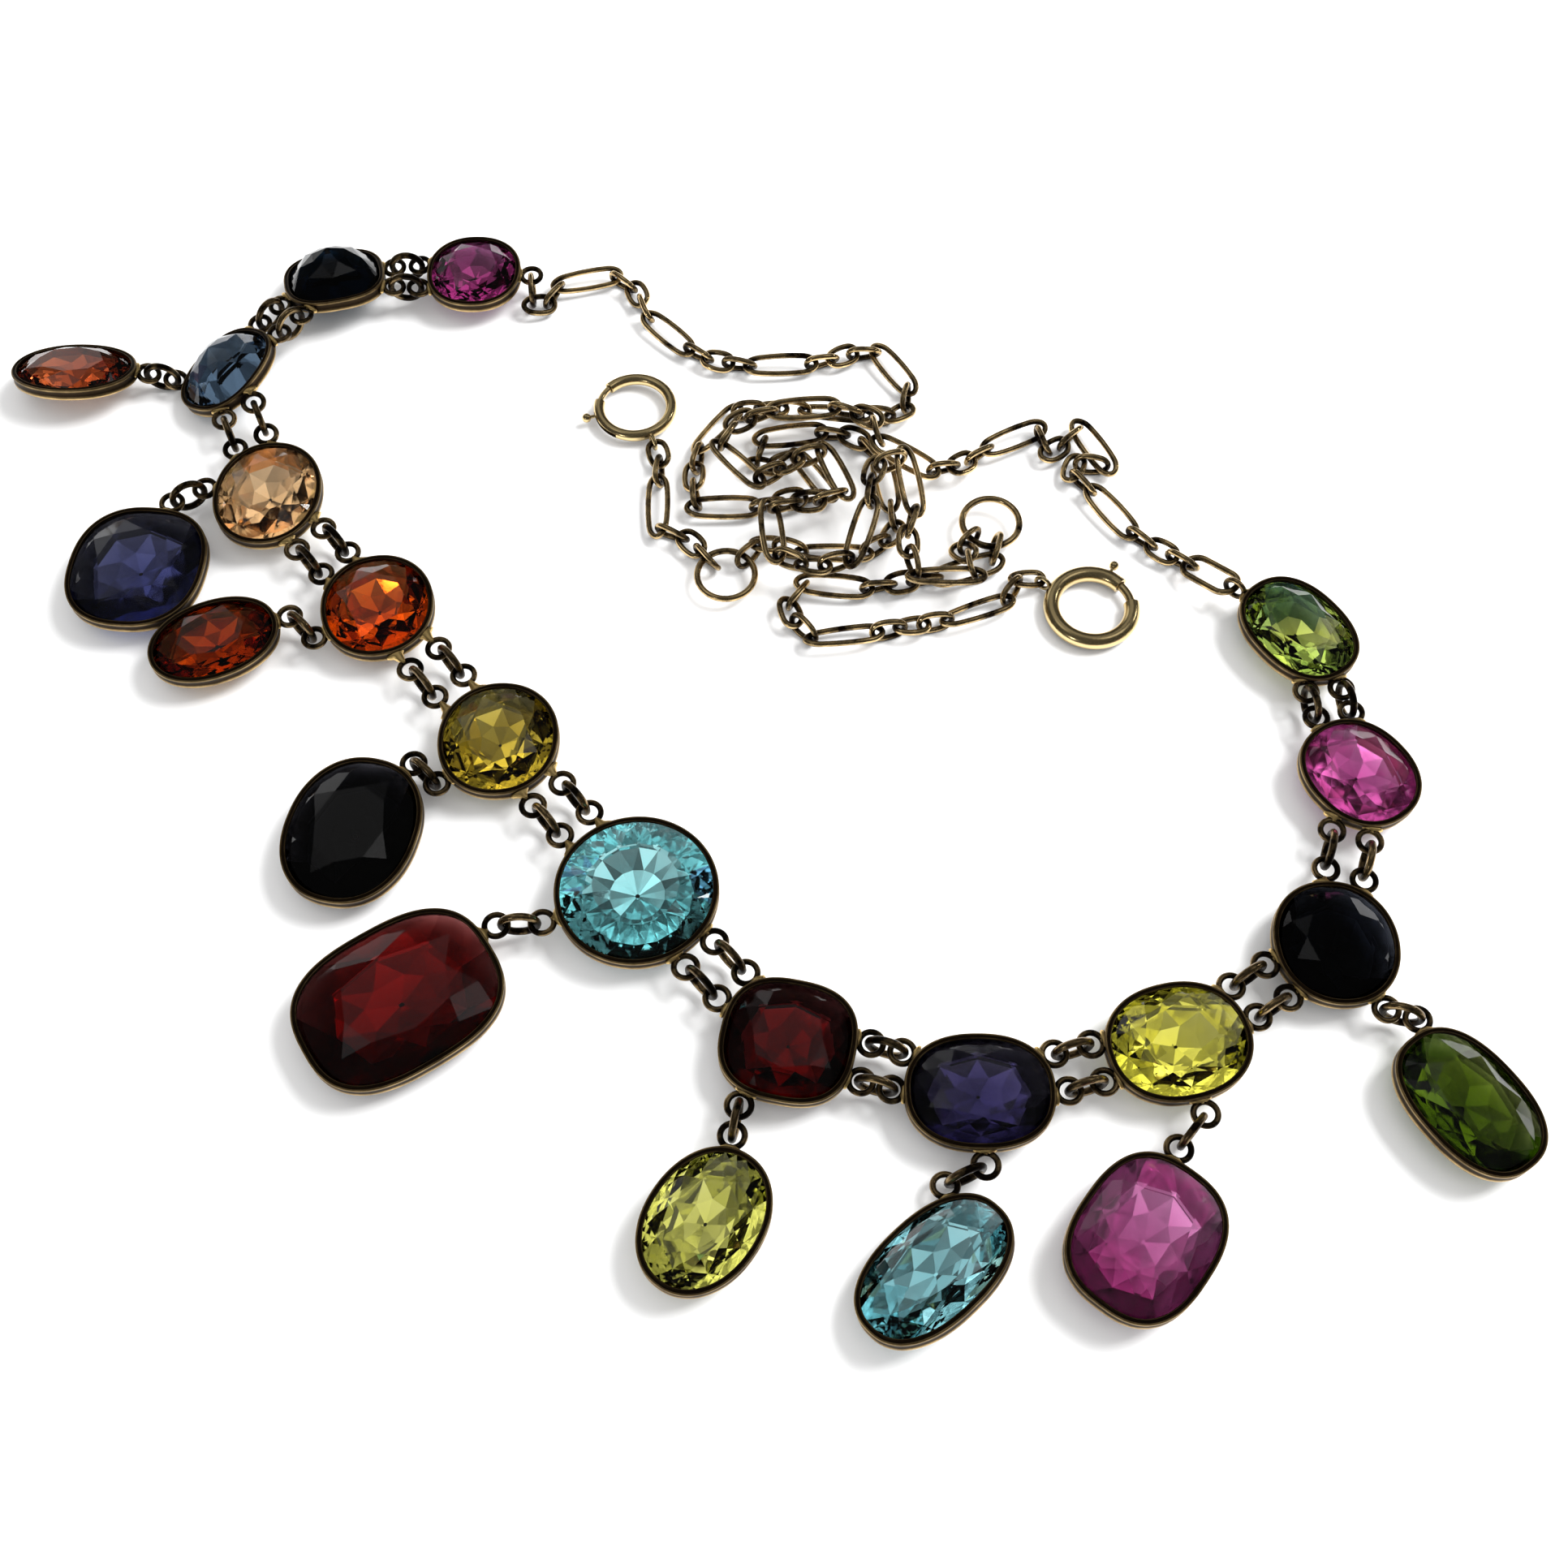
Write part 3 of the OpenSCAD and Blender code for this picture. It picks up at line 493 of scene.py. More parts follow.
def glass_finish(name, look):
    """Coloured glass that takes its colour from its depth and from the light and shade painted on
    each facet.
    """
    through, soft = look["through"], look.get("soft", 0.0)
    made, tree = material(name)
    facet = wire_up(tree, "ShaderNodeAttribute", attribute_name="facet_shade")
    mirror = wire_up(tree, "ShaderNodeAttribute", attribute_name="back_mirror")
    place = wire_up(tree, "ShaderNodeTexCoord").outputs["Object"]
    wear = wire_up(tree, "ShaderNodeTexNoise", {
        "Vector": place, "Scale": WEAR_SCALE, "Detail": 4.0, "Roughness": 0.6})
    rough = wire_up(tree, "ShaderNodeMapRange", {
        "Value": wear.outputs["Fac"], "From Min": 0.35, "From Max": 0.75,
        "To Min": soft, "To Max": soft + WEAR_ROUGHER})
    scratch = wire_up(tree, "ShaderNodeBump", {
        "Height": wear.outputs["Fac"], "Strength": 0.03, "Distance": WEAR_DEPTH})
    # The glass's own colour times the painted light and shade of each facet
    tint = wire_up(tree, "ShaderNodeMix", {
        "Factor": 1.0, "A": (*[v ** FACET_SHARE for v in through], 1), "B": facet.outputs["Color"]},
        data_type="RGBA", blend_type="MULTIPLY")
    shader = wire_up(tree, "ShaderNodeBsdfPrincipled", {
        "Base Color": tint.outputs["Result"], "Metallic": mirror.outputs["Fac"],
        "Roughness": rough.outputs["Result"], "IOR": look.get("ior", GLASS_IOR),
        "Transmission Weight": 1.0, "Normal": scratch.outputs["Normal"]})
    taken = [-math.log(v ** DEPTH_SHARE) / GLASS_PATH for v in through]
    density = max(taken)
    volume = wire_up(tree, "ShaderNodeVolumeAbsorption", {
        "Color": (*[1 - t / density for t in taken], 1), "Density": density})
    wire_up(tree, "ShaderNodeOutputMaterial", {"Surface": shader, "Volume": volume})
    return made


# Brass of each kind: colour where rubbed, colour of the patina and of the painted shade, the range
# of rubbing and painted shade from one to the other, and roughness where rubbed
rim_brass = brass_finish(
    "rim_brass", (0.66, 0.46, 0.21), (0.030, 0.019, 0.010), (0.10, 0.60), 0.26, with_rim_painted_light=True)
solder_brass = brass_finish(
    "solder_brass", (0.85, 0.60, 0.24), (0.08, 0.05, 0.02), (0.05, 0.4), 0.35)
ring_brass = brass_finish(
    "ring_brass", (0.55, 0.38, 0.18), (0.012, 0.008, 0.005), (0.42, 0.75), 0.14)
chain_brass = brass_finish(
    "chain_brass", (1.0, 0.72, 0.35), (0.016, 0.009, 0.005), (0.34, 0.66), 0.12)
clasp_brass = brass_finish(
    "clasp_brass", (0.78, 0.60, 0.30), (0.08, 0.05, 0.026), (0.0, 0.4), 0.22)


# Rims

RIM_BENDS = 96

# Section of a rim's upper half from its inner wall outward: outward x, height from its top edge,
# and how bright it is: rubbing, with a painted highlight on the outer wall and top edge and painted
# shade in the channel. The lower half is the same but darker with painted shade, with a dark
# groove of painted shade between them
RIM_SECTION = [
    (-0.30, -0.525, 0.2), (-0.30, -0.2, 0.2), (-0.36, -0.16, 0.2), (-0.45, -0.14, 0.3),
    (-0.48, -0.08, 0.4), (-0.47, -0.01, 0.4), (-0.42, 0.03, 0.6), (-0.36, 0.01, 0.3),
    (-0.31, -0.07, 0.1), (-0.25, -0.10, 0.05), (-0.19, -0.05, 0.2), (-0.13, 0.01, 0.9),
    (-0.06, 0.0, 1.0), (-0.01, -0.06, 1.0), (0.0, -0.16, 0.9), (-0.04, -0.28, 0.4),
    (-0.07, -0.40, 0.15),
]
# The groove's point, dark with painted shade
RIM_GROOVE = (-0.08, 0.0, 0.05)
# How much of its brightness the lower half keeps: painted shade under the rim
LOWER_PAINTED_SHADE = 0.6


def rim_section():
    """The whole section of a rim, as a closed loop with its rubbing, painted highlights and painted
    shade as an attribute.
    """
    upper = [(x, RIM_H / 2 + drop, rub_and_painted_light) for x, drop, rub_and_painted_light in RIM_SECTION]
    lower = [(x, -z, LOWER_PAINTED_SHADE * rub_and_painted_light) for x, z, rub_and_painted_light in reversed(upper[1:])]
    loop = upper + [RIM_GROOVE] + lower
    mesh = loop_mesh("rim_section", [(x, z, 0) for x, z, _ in loop])
    crest = mesh.attributes.new("crest", "FLOAT", "POINT")
    crest.data.foreach_set("value", [rub_and_painted_light for _, _, rub_and_painted_light in loop])
    return mesh


def rim_tree():
    """Sweeps the section along the closed outline of a rim."""
    tree, sizes, result = node_shape("rim_sweep", [
        ("Section", "NodeSocketObject", None), ("Finish", "NodeSocketMaterial", None)])
    path = wire_up(tree, "GeometryNodeMeshToCurve", {"Mesh": sizes.outputs["Geometry"]})
    upright = wire_up(tree, "GeometryNodeSetCurveNormal", {"Curve": path})
    upright.mode = "Z_UP"
    section = wire_up(tree, "GeometryNodeObjectInfo", {"Object": sizes.outputs["Section"]})
    section_curve = wire_up(tree, "GeometryNodeMeshToCurve", {"Mesh": section.outputs["Geometry"]})
    swept = wire_up(tree, "GeometryNodeCurveToMesh", {
        "Curve": upright, "Profile Curve": section_curve, "Fill Caps": False})
    smooth = wire_up(tree, "GeometryNodeSetShadeSmooth", {"Geometry": swept})
    real = wire_up(tree, "GeometryNodeRealizeInstances", {"Geometry": smooth})
    finished = wire_up(tree, "GeometryNodeSetMaterial", {
        "Geometry": real, "Material": sizes.outputs["Finish"]})
    tree.links.new(finished.outputs[0], result.inputs[0])
    return tree


def loop_mesh(name, points):
    """Points joined by edges into a closed loop."""
    count = len(points)
    mesh = bpy.data.meshes.new(name)
    mesh.from_pydata([tuple(p) for p in points], [(k, (k + 1) % count) for k in range(count)], [])
    return mesh


def round_ring(name, radius, wire, finish, bends=40, sides=10):
    """A plain ring of round wire, lying flat."""
    points, faces = [], []
    for i in range(bends):
        a = 2 * math.pi * i / bends
        for j in range(sides):
            b = 2 * math.pi * j / sides
            r = radius + wire * math.cos(b)
            points.append((r * math.cos(a), r * math.sin(a), wire * math.sin(b)))
    for i in range(bends):
        for j in range(sides):
            i2, j2 = (i + 1) % bends, (j + 1) % sides
            faces.append((i * sides + j, i2 * sides + j, i2 * sides + j2, i * sides + j2))
    made = mesh_object(name, points, faces, smooth=True)
    made.data.materials.append(finish)
    return made


def lug(name, length, finish, sides=16):
    """A drop of solder from the rim to its ring, wide at the rim."""
    # Along, half width and half height of each section
    section = [(-0.26, 0.84, 0.32), (-0.05, 0.88, 0.38), (0.08, 0.70, 0.40), (0.22, 0.48, 0.36),
               (length * 0.6 + 0.1, 0.31, 0.31), (length, 0.3, 0.3), (length + 0.16, 0.22, 0.22)]
    points, faces = [], []
    for x, wide, high in section:
        for j in range(sides):
            b = 2 * math.pi * j / sides
            points.append((x, wide * math.cos(b), high * math.sin(b)))
    rows = len(section)
    for i in range(rows - 1):
        for j in range(sides):
            j2 = (j + 1) % sides
            faces.append((i * sides + j, i * sides + j2, (i + 1) * sides + j2, (i + 1) * sides + j))
    faces.append(tuple(range(sides))[::-1])
    faces.append(tuple((rows - 1) * sides + j for j in range(sides)))
    made = mesh_object(name, points, faces, smooth=True)
    made.data.materials.append(finish)
    return made


def make_rims():
    tree = rim_tree()
    section = bpy.data.objects.new("rim_section", rim_section())
    scene.collection.objects.link(section)
    for stone in set_stones.values():
        outline = [(x, y, 0) for x, y in stone.outline(0, RIM_BENDS)]
        rim = made_from(tree, "rim_" + stone.name, loop_mesh("outline", outline),
                        {"Section": section, "Finish": rim_brass})
        set_in_place(rim, stone.place)
        pieces = [rim]
        for place, out, off, on_edge in soldered_rings(stone):
            ring = round_ring("ring", SOLDERED_R, RING_WIRE_R, ring_brass)
            turn = Matrix.Rotation(math.radians(90 if on_edge else 0), 4, "X")
            set_in_place(ring, aimed(place + off * out, out) @ turn)
            solder = lug("lug", off - SOLDERED_R, solder_brass)
            set_in_place(solder, aimed(place, out))
            pieces += [ring, solder]
        piece = joined("rim_" + stone.name, pieces)
        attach(piece, "necklace")
        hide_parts("setting_" + stone.name)
    bpy.data.objects.remove(section)


make_rims()


# Stones

# Part of the light that a back facet mirrors, where its look says nothing else
BACK_MIRROR = 0.6
# How steeply the painted shade on a front fades in across half its stone's width
PAINTED_SHADE_SLOPE = 0.6
# Half height of a stone's edge, in millimetres
GIRDLE = 0.12
# Rings of corners of a stone, each as a part of its outline and of its crown's height or its depth
TABLE_RING = (0.56, 1.0)
CROWN_RING = (0.80, 0.62)
BACK_RING = (0.66, 0.56)
INNER_RING = (0.36, 0.80)
CULET_RING = (0.03, 1.0)


def paint_facet_light(stone, piece, zones):
    """Gives each facet its painted light and shade: that of its zone, of its patches, and its own.
    Front facets get painted shade that fades across them instead, and back facets also mirror a
    part of the light, as a polished back does."""
    look = LOOKS[stone.name]
    chance = random.Random(stone.name)
    values = np.ones((len(piece.data.loops), 4))
    mirrored = np.zeros(len(piece.data.loops))
    turn = 0
    shade_toward, shade_colour = look.get("fade", (0, (1, 1, 1)))
    shade_way = Vector((math.cos(math.radians(shade_toward)), math.sin(math.radians(shade_toward))))
    for face, zone in zip(piece.data.polygons, zones):
        # Front facets: painted shade that darkens the front towards one side
        if zone <= CROWN:
            for loop in face.loop_indices:
                corner = stone.place @ piece.data.vertices[piece.data.loops[loop].vertex_index].co
                across = (corner.xy - Vector((stone.x, stone.y))).dot(shade_way) / (stone.width / 2)
                t = min(max(0.5 + PAINTED_SHADE_SLOPE * across, 0), 1)
                values[loop, :3] = 1 - t + t * np.array(shade_colour)
            continue
        # Back facets: painted light and shade by zone, by patch and at random
        own = 1 - look["spread"] * chance.random()
        turn += 1
        # Every other middle and inner facet darker: a painted star of reflections
        if zone >= MIDDLE and turn % 2:
            own *= 1 - look.get("rays", 0)
        tint = np.array([look["backs"][zone - OUTER] * own] * 3)
        middle = stone.place @ face.center
        way = math.degrees(math.atan2(middle.y - stone.y, middle.x - stone.x)) % 360
        # Patches: painted glints and painted shade on back facets that face one way
        for painted_patch_zone, start, end, colour in look.get("patches", ()):
            if painted_patch_zone == zone and (way - start) % 360 <= (end - start) % 360:
                tint = np.array(colour) * own
        for loop in face.loop_indices:
            values[loop, :3] = tint
            mirrored[loop] = look.get("mirror", BACK_MIRROR)
    shade = piece.data.attributes.new("facet_shade", "FLOAT_COLOR", "CORNER")
    shade.data.foreach_set("color", values.ravel())
    mirror = piece.data.attributes.new("back_mirror", "FLOAT", "CORNER")
    mirror.data.foreach_set("value", mirrored)


def make_stone(stone):
    """A brilliant cut stone: table, stars, kites and girdle halves; a back of halves and mains."""
    half = LOOKS[stone.name].get("mains", 8)
    count = 4 * half
    inset = RIM_WALL + STONE_GAP
    full = stone.outline(inset, 2 * half)
    fine = stone.outline(inset, count)
    points = []

    def ring(outline, scale, z):
        start = len(points)
        points.extend((x * scale, y * scale, z) for x, y in outline)
        return start

    table = ring(full[0::2], TABLE_RING[0], GIRDLE + TABLE_RING[1] * CROWN_H)
    crown = ring(full[1::2], CROWN_RING[0], GIRDLE + CROWN_RING[1] * CROWN_H)
    top = ring(fine, 1, GIRDLE)
    low = ring(fine, 1, -GIRDLE)
    back = ring(full[0::2], BACK_RING[0], -BACK_RING[1] * stone.deep)
    inner = ring(full[1::2], INNER_RING[0], -INNER_RING[1] * stone.deep)
    culet = ring(full[1::2], CULET_RING[0], -CULET_RING[1] * stone.deep)
    faces = [tuple(table + k for k in range(half))]
    zones = [TABLE]
    for k in range(half):
        k2 = (k + 1) % half
        g = 4 * k
        faces += [
            (table + k, crown + k, table + k2),
            (table + k2, crown + k, top + (g + 4) % count, crown + k2),
            (crown + k, top + g, top + g + 1, top + g + 2),
            (crown + k, top + g + 2, top + g + 3, top + (g + 4) % count),
            (back + k, low + g + 2, low + g + 1, low + g),
            (back + k2, low + (g + 4) % count, low + g + 3, low + g + 2),
            (back + k, back + k2, low + g + 2),
            (inner + k, back + k2, back + k),
            (inner + k, inner + k2, back + k2),
            (culet + k, culet + k2, inner + k2, inner + k),
        ]
        zones += [CROWN] * 4 + [OUTER] * 3 + [MIDDLE] * 2 + [INNER]
    for k in range(count):
        k2 = (k + 1) % count
        faces.append((top + k, low + k, low + k2, top + k2))
        zones.append(CROWN)
    faces.append(tuple(culet + k for k in reversed(range(half))))
    zones.append(INNER)
    piece = mesh_object("gem_" + stone.name, points, faces)
    flip = Matrix.Rotation(math.pi if stone.face < 0 else 0, 4, "X")
    piece.data.transform(flip)
    paint_facet_light(stone, piece, zones)
    set_in_place(piece, stone.place)
    piece.data.materials.append(glass_finish("glass_" + stone.name, LOOKS[stone.name]))
    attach(piece, "necklace")
    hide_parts("stone_" + stone.name)


for one in set_stones.values():
    make_stone(one)


# Links and rings

# A link's long sides bow: this share of its length follows straight sides, the rest an ellipse
STRAIGHT_SHARE = 0.55
# How far a chain link's wire is twisted out of its plane, in millimetres
LINK_TWIST = 0.16
# Links over this length in millimetres are long ones
LONG_OVER = 5.0
LOOSE_RING = {"Short length": 3.4, "Short width": 3.4, "Wire radius": 0.3, "Bends": 44}


def link_tree():
    """Puts a long or a short wire link on each point, turned to the point's own axes."""
    tree, sizes, result = node_shape("wire_links", [
        ("Short length", "NodeSocketFloat", SHORT_LINK[0]),
        ("Short width", "NodeSocketFloat", SHORT_LINK[1]),
        ("Long length", "NodeSocketFloat", LONG_LINK[0]),
        ("Long width", "NodeSocketFloat", LONG_LINK[1]),
        ("Wire radius", "NodeSocketFloat", CHAIN_WIRE_R),
        ("Twist", "NodeSocketFloat", 0.0),
        ("Bends", "NodeSocketInt", 40),
        ("Sides", "NodeSocketInt", 10),
        ("Finish", "NodeSocketMaterial", None),
    ])

    def maths(operation, a, b=None):
        inputs = {0: a}
        if b is not None:
            inputs[1] = b
        return wire_up(tree, "ShaderNodeMath", inputs, operation=operation).outputs[0]

    wire = wire_up(tree, "GeometryNodeCurvePrimitiveCircle", {
        "Resolution": sizes.outputs["Sides"], "Radius": sizes.outputs["Wire radius"]})

    def link(length, width):
        loop = wire_up(tree, "GeometryNodeCurvePrimitiveCircle", {
            "Resolution": sizes.outputs["Bends"], "Radius": 1.0})
        where = wire_up(tree, "ShaderNodeSeparateXYZ", {
            0: wire_up(tree, "GeometryNodeInputPosition").outputs[0]})
        x, y = where.outputs["X"], where.outputs["Y"]
        half_width = maths("SUBTRACT", maths("MULTIPLY", width, 0.5), sizes.outputs["Wire radius"])
        half_length = maths(
            "SUBTRACT", maths("MULTIPLY", length, 0.5), sizes.outputs["Wire radius"])
        straight = maths("SUBTRACT", half_length, half_width)
        reach = maths("MAXIMUM", maths("MINIMUM", maths("MULTIPLY", x, 2.0), 1.0), -1.0)
        bowed = maths("ADD", maths("MULTIPLY", reach, STRAIGHT_SHARE),
                      maths("MULTIPLY", x, 1 - STRAIGHT_SHARE))
        along = maths("ADD", maths("MULTIPLY", bowed, straight), maths("MULTIPLY", x, half_width))
        across = maths("MULTIPLY", y, half_width)
        rise = maths("MULTIPLY", maths("MULTIPLY", x, y), sizes.outputs["Twist"])
        place = wire_up(tree, "ShaderNodeCombineXYZ", {"X": along, "Y": across, "Z": rise})
        shaped = wire_up(tree, "GeometryNodeSetPosition", {"Geometry": loop, "Position": place})
        upright = wire_up(tree, "GeometryNodeSetCurveNormal", {"Curve": shaped})
        upright.mode = "Z_UP"
        return wire_up(tree, "GeometryNodeCurveToMesh", {"Curve": upright, "Profile Curve": wire})

    turn = wire_up(tree, "FunctionNodeAxesToRotation", {
        "Primary Axis": named_vector(tree, "along"),
        "Secondary Axis": named_vector(tree, "across")})
    turn.primary_axis = "X"
    turn.secondary_axis = "Y"
    is_long = wire_up(tree, "GeometryNodeInputNamedAttribute", {"Name": "is_long"},
                      data_type="BOOLEAN")
    is_short = wire_up(tree, "FunctionNodeBooleanMath", {0: is_long.outputs["Attribute"]},
                       operation="NOT")
    placed = []
    for selection, length, width in (
            (is_long.outputs["Attribute"], "Long length", "Long width"),
            (is_short.outputs[0], "Short length", "Short width")):
        placed.append(wire_up(tree, "GeometryNodeInstanceOnPoints", {
            "Points": sizes.outputs["Geometry"], "Selection": selection,
            "Instance": link(sizes.outputs[length], sizes.outputs[width]), "Rotation": turn}))
    both = tree.nodes.new("GeometryNodeJoinGeometry")
    for one in placed:
        tree.links.new(one.outputs[0], both.inputs[0])
    real = wire_up(tree, "GeometryNodeRealizeInstances", {"Geometry": both})
    smooth = wire_up(tree, "GeometryNodeSetShadeSmooth", {"Geometry": real})
    finished = wire_up(tree, "GeometryNodeSetMaterial", {
        "Geometry": smooth, "Material": sizes.outputs["Finish"]})
    tree.links.new(finished.outputs[0], result.inputs[0])
    return tree


def named_vector(tree, name):
    return wire_up(tree, "GeometryNodeInputNamedAttribute", {"Name": name},
                   data_type="FLOAT_VECTOR").outputs["Attribute"]


def link_points(name, parts):
    """A mesh of one point to each link, with the link's axes and kind as attributes."""
    found = [axes_of(p) for p in parts]
    mesh = bpy.data.meshes.new(name)
    mesh.from_pydata([tuple(f[0]) for f in found], [], [])
    for label, pick in (("along", 1), ("across", 2)):
        attribute = mesh.attributes.new(label, "FLOAT_VECTOR", "POINT")
        attribute.data.foreach_set("vector", np.array([f[pick] for f in found]).ravel())
    kind = mesh.attributes.new("is_long", "BOOLEAN", "POINT")
    kind.data.foreach_set("value", [bool(f[3] > LONG_OVER) for f in found])
    return mesh


def make_links():
    tree = link_tree()
    twisted = {"Twist": LINK_TWIST}
    for name, node, finish, slot, sizes in (
            ("links_left", "chain_left", chain_brass, "chain_brass", twisted),
            ("links_left_tail", "tail_left", chain_brass, "chain_brass", twisted),
            ("links_right", "chain_right", chain_brass, "chain_brass", twisted),
            ("links_right_tail", "tail_right", chain_brass, "chain_brass", twisted),
            ("jump_rings_row", "row_rings", ring_brass, "ring_brass", LOOSE_RING),
            ("jump_rings_drops", "drop_rings", ring_brass, "ring_brass", LOOSE_RING)):
        seed = link_points(name, loose_parts(node))
        piece = made_from(tree, name, seed, {**sizes, "Finish": finish})
        set_in_place(piece)
        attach(piece, "necklace")
        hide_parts(node)


make_links()


def smooth_tree():
    """Shades the round faces smooth and keeps the true edges, those over 40 degrees, sharp."""
    tree, sizes, result = node_shape("smooth_round", [
        ("Edge angle", "NodeSocketFloat", math.radians(40))])
    angle = wire_up(tree, "GeometryNodeInputMeshEdgeAngle")
    sharp = wire_up(tree, "FunctionNodeCompare", {
        0: angle.outputs["Unsigned Angle"], 1: sizes.outputs["Edge angle"]}, data_type="FLOAT",
        operation="GREATER_THAN")
    round_faces = wire_up(tree, "GeometryNodeSetShadeSmooth", {
        "Geometry": sizes.outputs["Geometry"]})
    edged = wire_up(tree, "GeometryNodeSetShadeSmooth", {
        "Geometry": round_faces, "Selection": sharp.outputs[0], "Shade Smooth": False},
        domain="EDGE")
    real = wire_up(tree, "GeometryNodeRealizeInstances", {"Geometry": edged})
    tree.links.new(real.outputs[0], result.inputs[0])
    return tree


smooth_round = smooth_tree()

for node, finish in (("end_links", chain_brass), ("chain_rings", chain_brass),
                     ("bolt_ring_left", clasp_brass), ("bolt_ring_right", clasp_brass),
                     ("bolt_left", clasp_brass), ("bolt_right", clasp_brass)):
    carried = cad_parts[node]
    carried.data.materials.clear()
    carried.data.materials.append(finish)
    carried.modifiers.new("smooth_round", "NODES").node_group = smooth_round


# Surface, light and camera

# What light meets where it leaves the scene, as brightness at the horizon and overhead: light that
# falls on dull surfaces, and light that metal and glass mirror
ROOM_LEVEL = (0.15, 1.15)
MIRRORED_LEVEL = (0.03, 0.05)
# Soft boxes that the metal and glass mirror: azimuth, height and spread in degrees, and brightness
SOFT_BOXES = [(18, 66, 9, 0.7), (165, 66, 7, 0.45), (125, 14, 12, 0.7), (108, 58, 20, 0.2)]
SOFT_BOX_EDGE = 5
# Brightness that the stones let through from dark and light parts of the room, how many such parts
# there are, and how sharply they meet
THROUGH_LEVEL = (0.4, 1.5)
THROUGH_SCALE = 3.2
THROUGH_EDGE = (0.46, 0.54)
# Brightness of the ground beyond the table
BACKGROUND = 0.94
TABLE_HALF = 2
TABLE_TONE = (0.90, 0.92)

# The photo's view: degrees above the surface, distance and aim point in metres, lens in millimetres
VIEW_HEIGHT = 62
VIEW_REACH = 0.142
VIEW_AIM = (0.0076, -0.0063)
LENS = 40
SENSOR = 36


def make_floor():
    made, tree = material("pale_table")
    place = wire_up(tree, "ShaderNodeTexCoord").outputs["Object"]
    haze = wire_up(tree, "ShaderNodeTexNoise", {"Vector": place, "Scale": 4.0})
    tone = wire_up(tree, "ShaderNodeMapRange", {
        "Value": haze.outputs["Fac"], "To Min": TABLE_TONE[0], "To Max": TABLE_TONE[1]})
    shader = wire_up(tree, "ShaderNodeBsdfPrincipled", {
        "Base Color": tone.outputs["Result"], "Roughness": 0.9, "Specular IOR Level": 0.2})
    wire_up(tree, "ShaderNodeOutputMaterial", {"Surface": shader})
    corners = [(x * TABLE_HALF, y * TABLE_HALF, 0) for x, y in ((-1, -1), (1, -1), (1, 1), (-1, 1))]
    floor = mesh_object("table_top", corners, [(0, 1, 2, 3)])
    floor.data.materials.append(made)


def area_light(name, place, size, watts, seen=True):
    """A rectangular lamp aimed at the necklace. An unseen one lights it, but isn't mirrored."""
    lamp = bpy.data.lights.new(name, "AREA")
    lamp.shape = "RECTANGLE"
    lamp.size, lamp.size_y = size
    lamp.energy = watts
    holder = bpy.data.objects.new(name, lamp)
    holder.location = place
    holder.rotation_euler = (-Vector(place)).to_track_quat("-Z", "Y").to_euler()
    holder.visible_glossy = seen
    holder.visible_transmission = seen
    scene.collection.objects.link(holder)


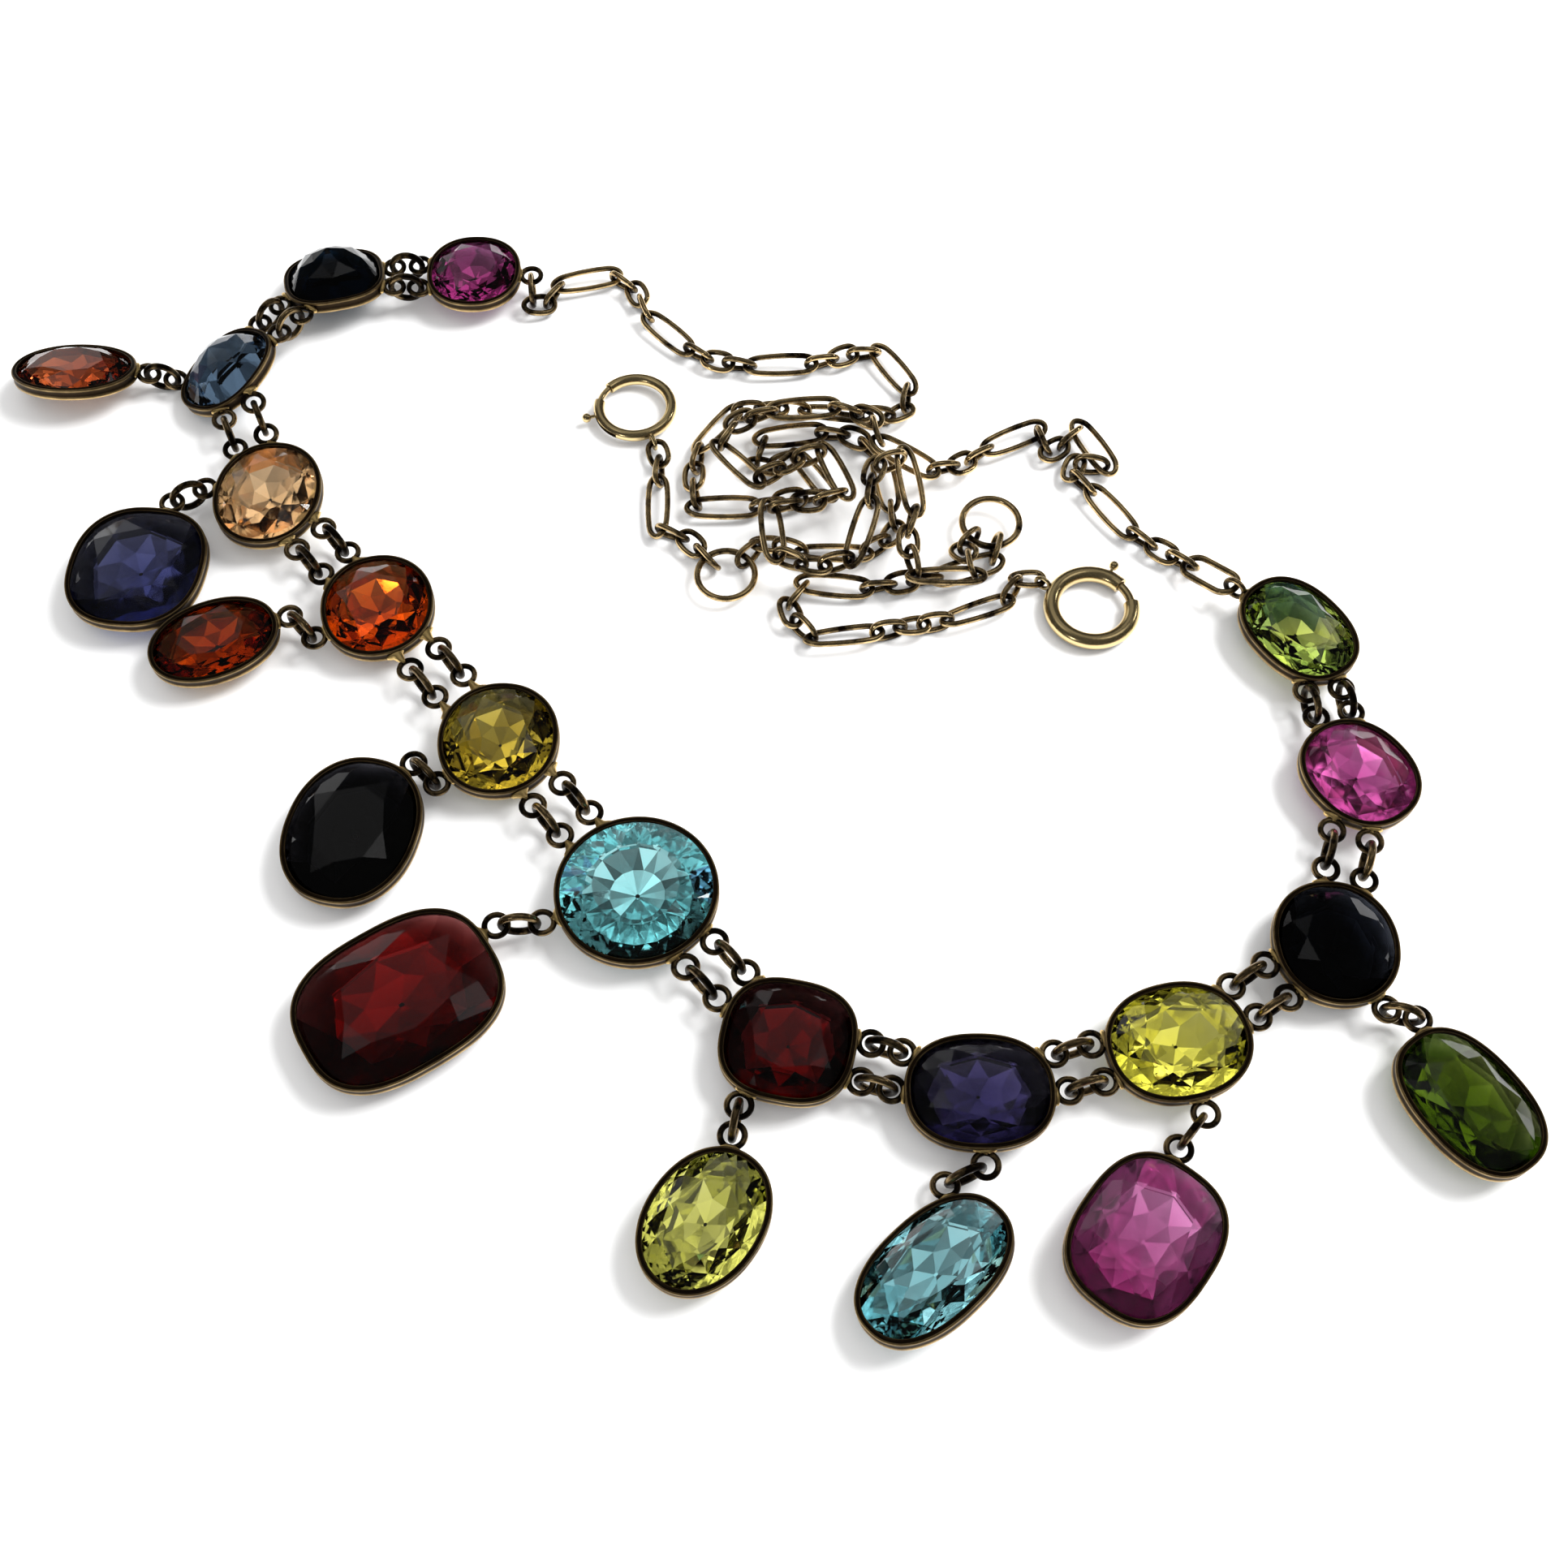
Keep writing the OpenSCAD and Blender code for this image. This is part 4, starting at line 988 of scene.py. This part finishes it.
def make_light():
    """A pale room that looks different to dull surfaces, to mirrors, through glass and to the
    camera, and three lamps."""
    world = bpy.data.worlds.new("soft_room")
    scene.world = world
    world.use_nodes = True
    tree = world.node_tree
    tree.nodes.clear()
    place = wire_up(tree, "ShaderNodeTexCoord").outputs["Generated"]
    height = wire_up(tree, "ShaderNodeSeparateXYZ", {0: place}).outputs["Z"]
    level = wire_up(tree, "ShaderNodeMapRange", {
        "Value": height, "From Min": 0.1, "From Max": 0.9,
        "To Min": ROOM_LEVEL[0], "To Max": ROOM_LEVEL[1]})
    dim = wire_up(tree, "ShaderNodeMapRange", {
        "Value": height, "From Min": 0.0, "From Max": 1.0,
        "To Min": MIRRORED_LEVEL[0], "To Max": MIRRORED_LEVEL[1]}).outputs["Result"]
    for azimuth, rise, spread, bright in SOFT_BOXES:
        a, e = math.radians(azimuth), math.radians(rise)
        toward = wire_up(tree, "ShaderNodeVectorMath", {
            0: place, 1: (math.cos(e) * math.cos(a), math.cos(e) * math.sin(a), math.sin(e))},
            operation="DOT_PRODUCT")
        lit = wire_up(tree, "ShaderNodeMapRange", {
            "Value": toward.outputs["Value"],
            "From Min": math.cos(math.radians(spread + SOFT_BOX_EDGE)),
            "From Max": math.cos(math.radians(spread)), "To Max": bright})
        dim = wire_up(tree, "ShaderNodeMath", {0: dim, 1: lit.outputs["Result"]},
                      operation="ADD").outputs[0]
    openings = wire_up(tree, "ShaderNodeTexNoise", {
        "Vector": place, "Scale": THROUGH_SCALE, "Detail": 0.0})
    windows = wire_up(tree, "ShaderNodeMapRange", {
        "Value": openings.outputs["Fac"], "From Min": THROUGH_EDGE[0], "From Max": THROUGH_EDGE[1],
        "To Min": THROUGH_LEVEL[0], "To Max": THROUGH_LEVEL[1]})
    path = wire_up(tree, "ShaderNodeLightPath")
    # Light that leaves a stone counts as mirrored too, so the test for glass comes after it
    mirrored = wire_up(tree, "ShaderNodeMix", {
        "Factor": path.outputs["Is Glossy Ray"], "A": level.outputs["Result"],
        "B": dim}, data_type="FLOAT")
    strength = wire_up(tree, "ShaderNodeMix", {
        "Factor": path.outputs["Is Transmission Ray"], "A": mirrored.outputs["Result"],
        "B": windows.outputs["Result"]}, data_type="FLOAT")
    seen = wire_up(tree, "ShaderNodeMix", {
        "Factor": path.outputs["Is Camera Ray"], "A": strength.outputs["Result"],
        "B": BACKGROUND}, data_type="FLOAT")
    shade = wire_up(tree, "ShaderNodeBackground", {
        "Color": (1, 1, 1, 1), "Strength": seen.outputs["Result"]})
    wire_up(tree, "ShaderNodeOutputWorld", {"Surface": shade})
    area_light("window_right", (0.38, 0.16, 0.44), (0.28, 0.28), 5.0, seen=False)
    area_light("glint_right", (0.50, 0.22, 0.30), (0.05, 0.05), 0.12)
    area_light("fill_front", (-0.30, -0.42, 0.26), (0.05, 0.03), 0.15)


def make_camera():
    lens = bpy.data.cameras.new("photo_view")
    lens.lens = LENS
    lens.sensor_width = SENSOR
    lens.clip_start = 0.005
    holder = bpy.data.objects.new("photo_view", lens)
    angle = math.radians(VIEW_HEIGHT)
    holder.location = (VIEW_AIM[0], VIEW_AIM[1] - VIEW_REACH * math.cos(angle),
                       VIEW_REACH * math.sin(angle))
    holder.rotation_euler = (math.radians(90) - angle, 0, 0)
    scene.collection.objects.link(holder)
    scene.camera = holder


make_floor()
make_light()
make_camera()
scene.view_settings.view_transform = "Standard"
scene.view_settings.look = "None"
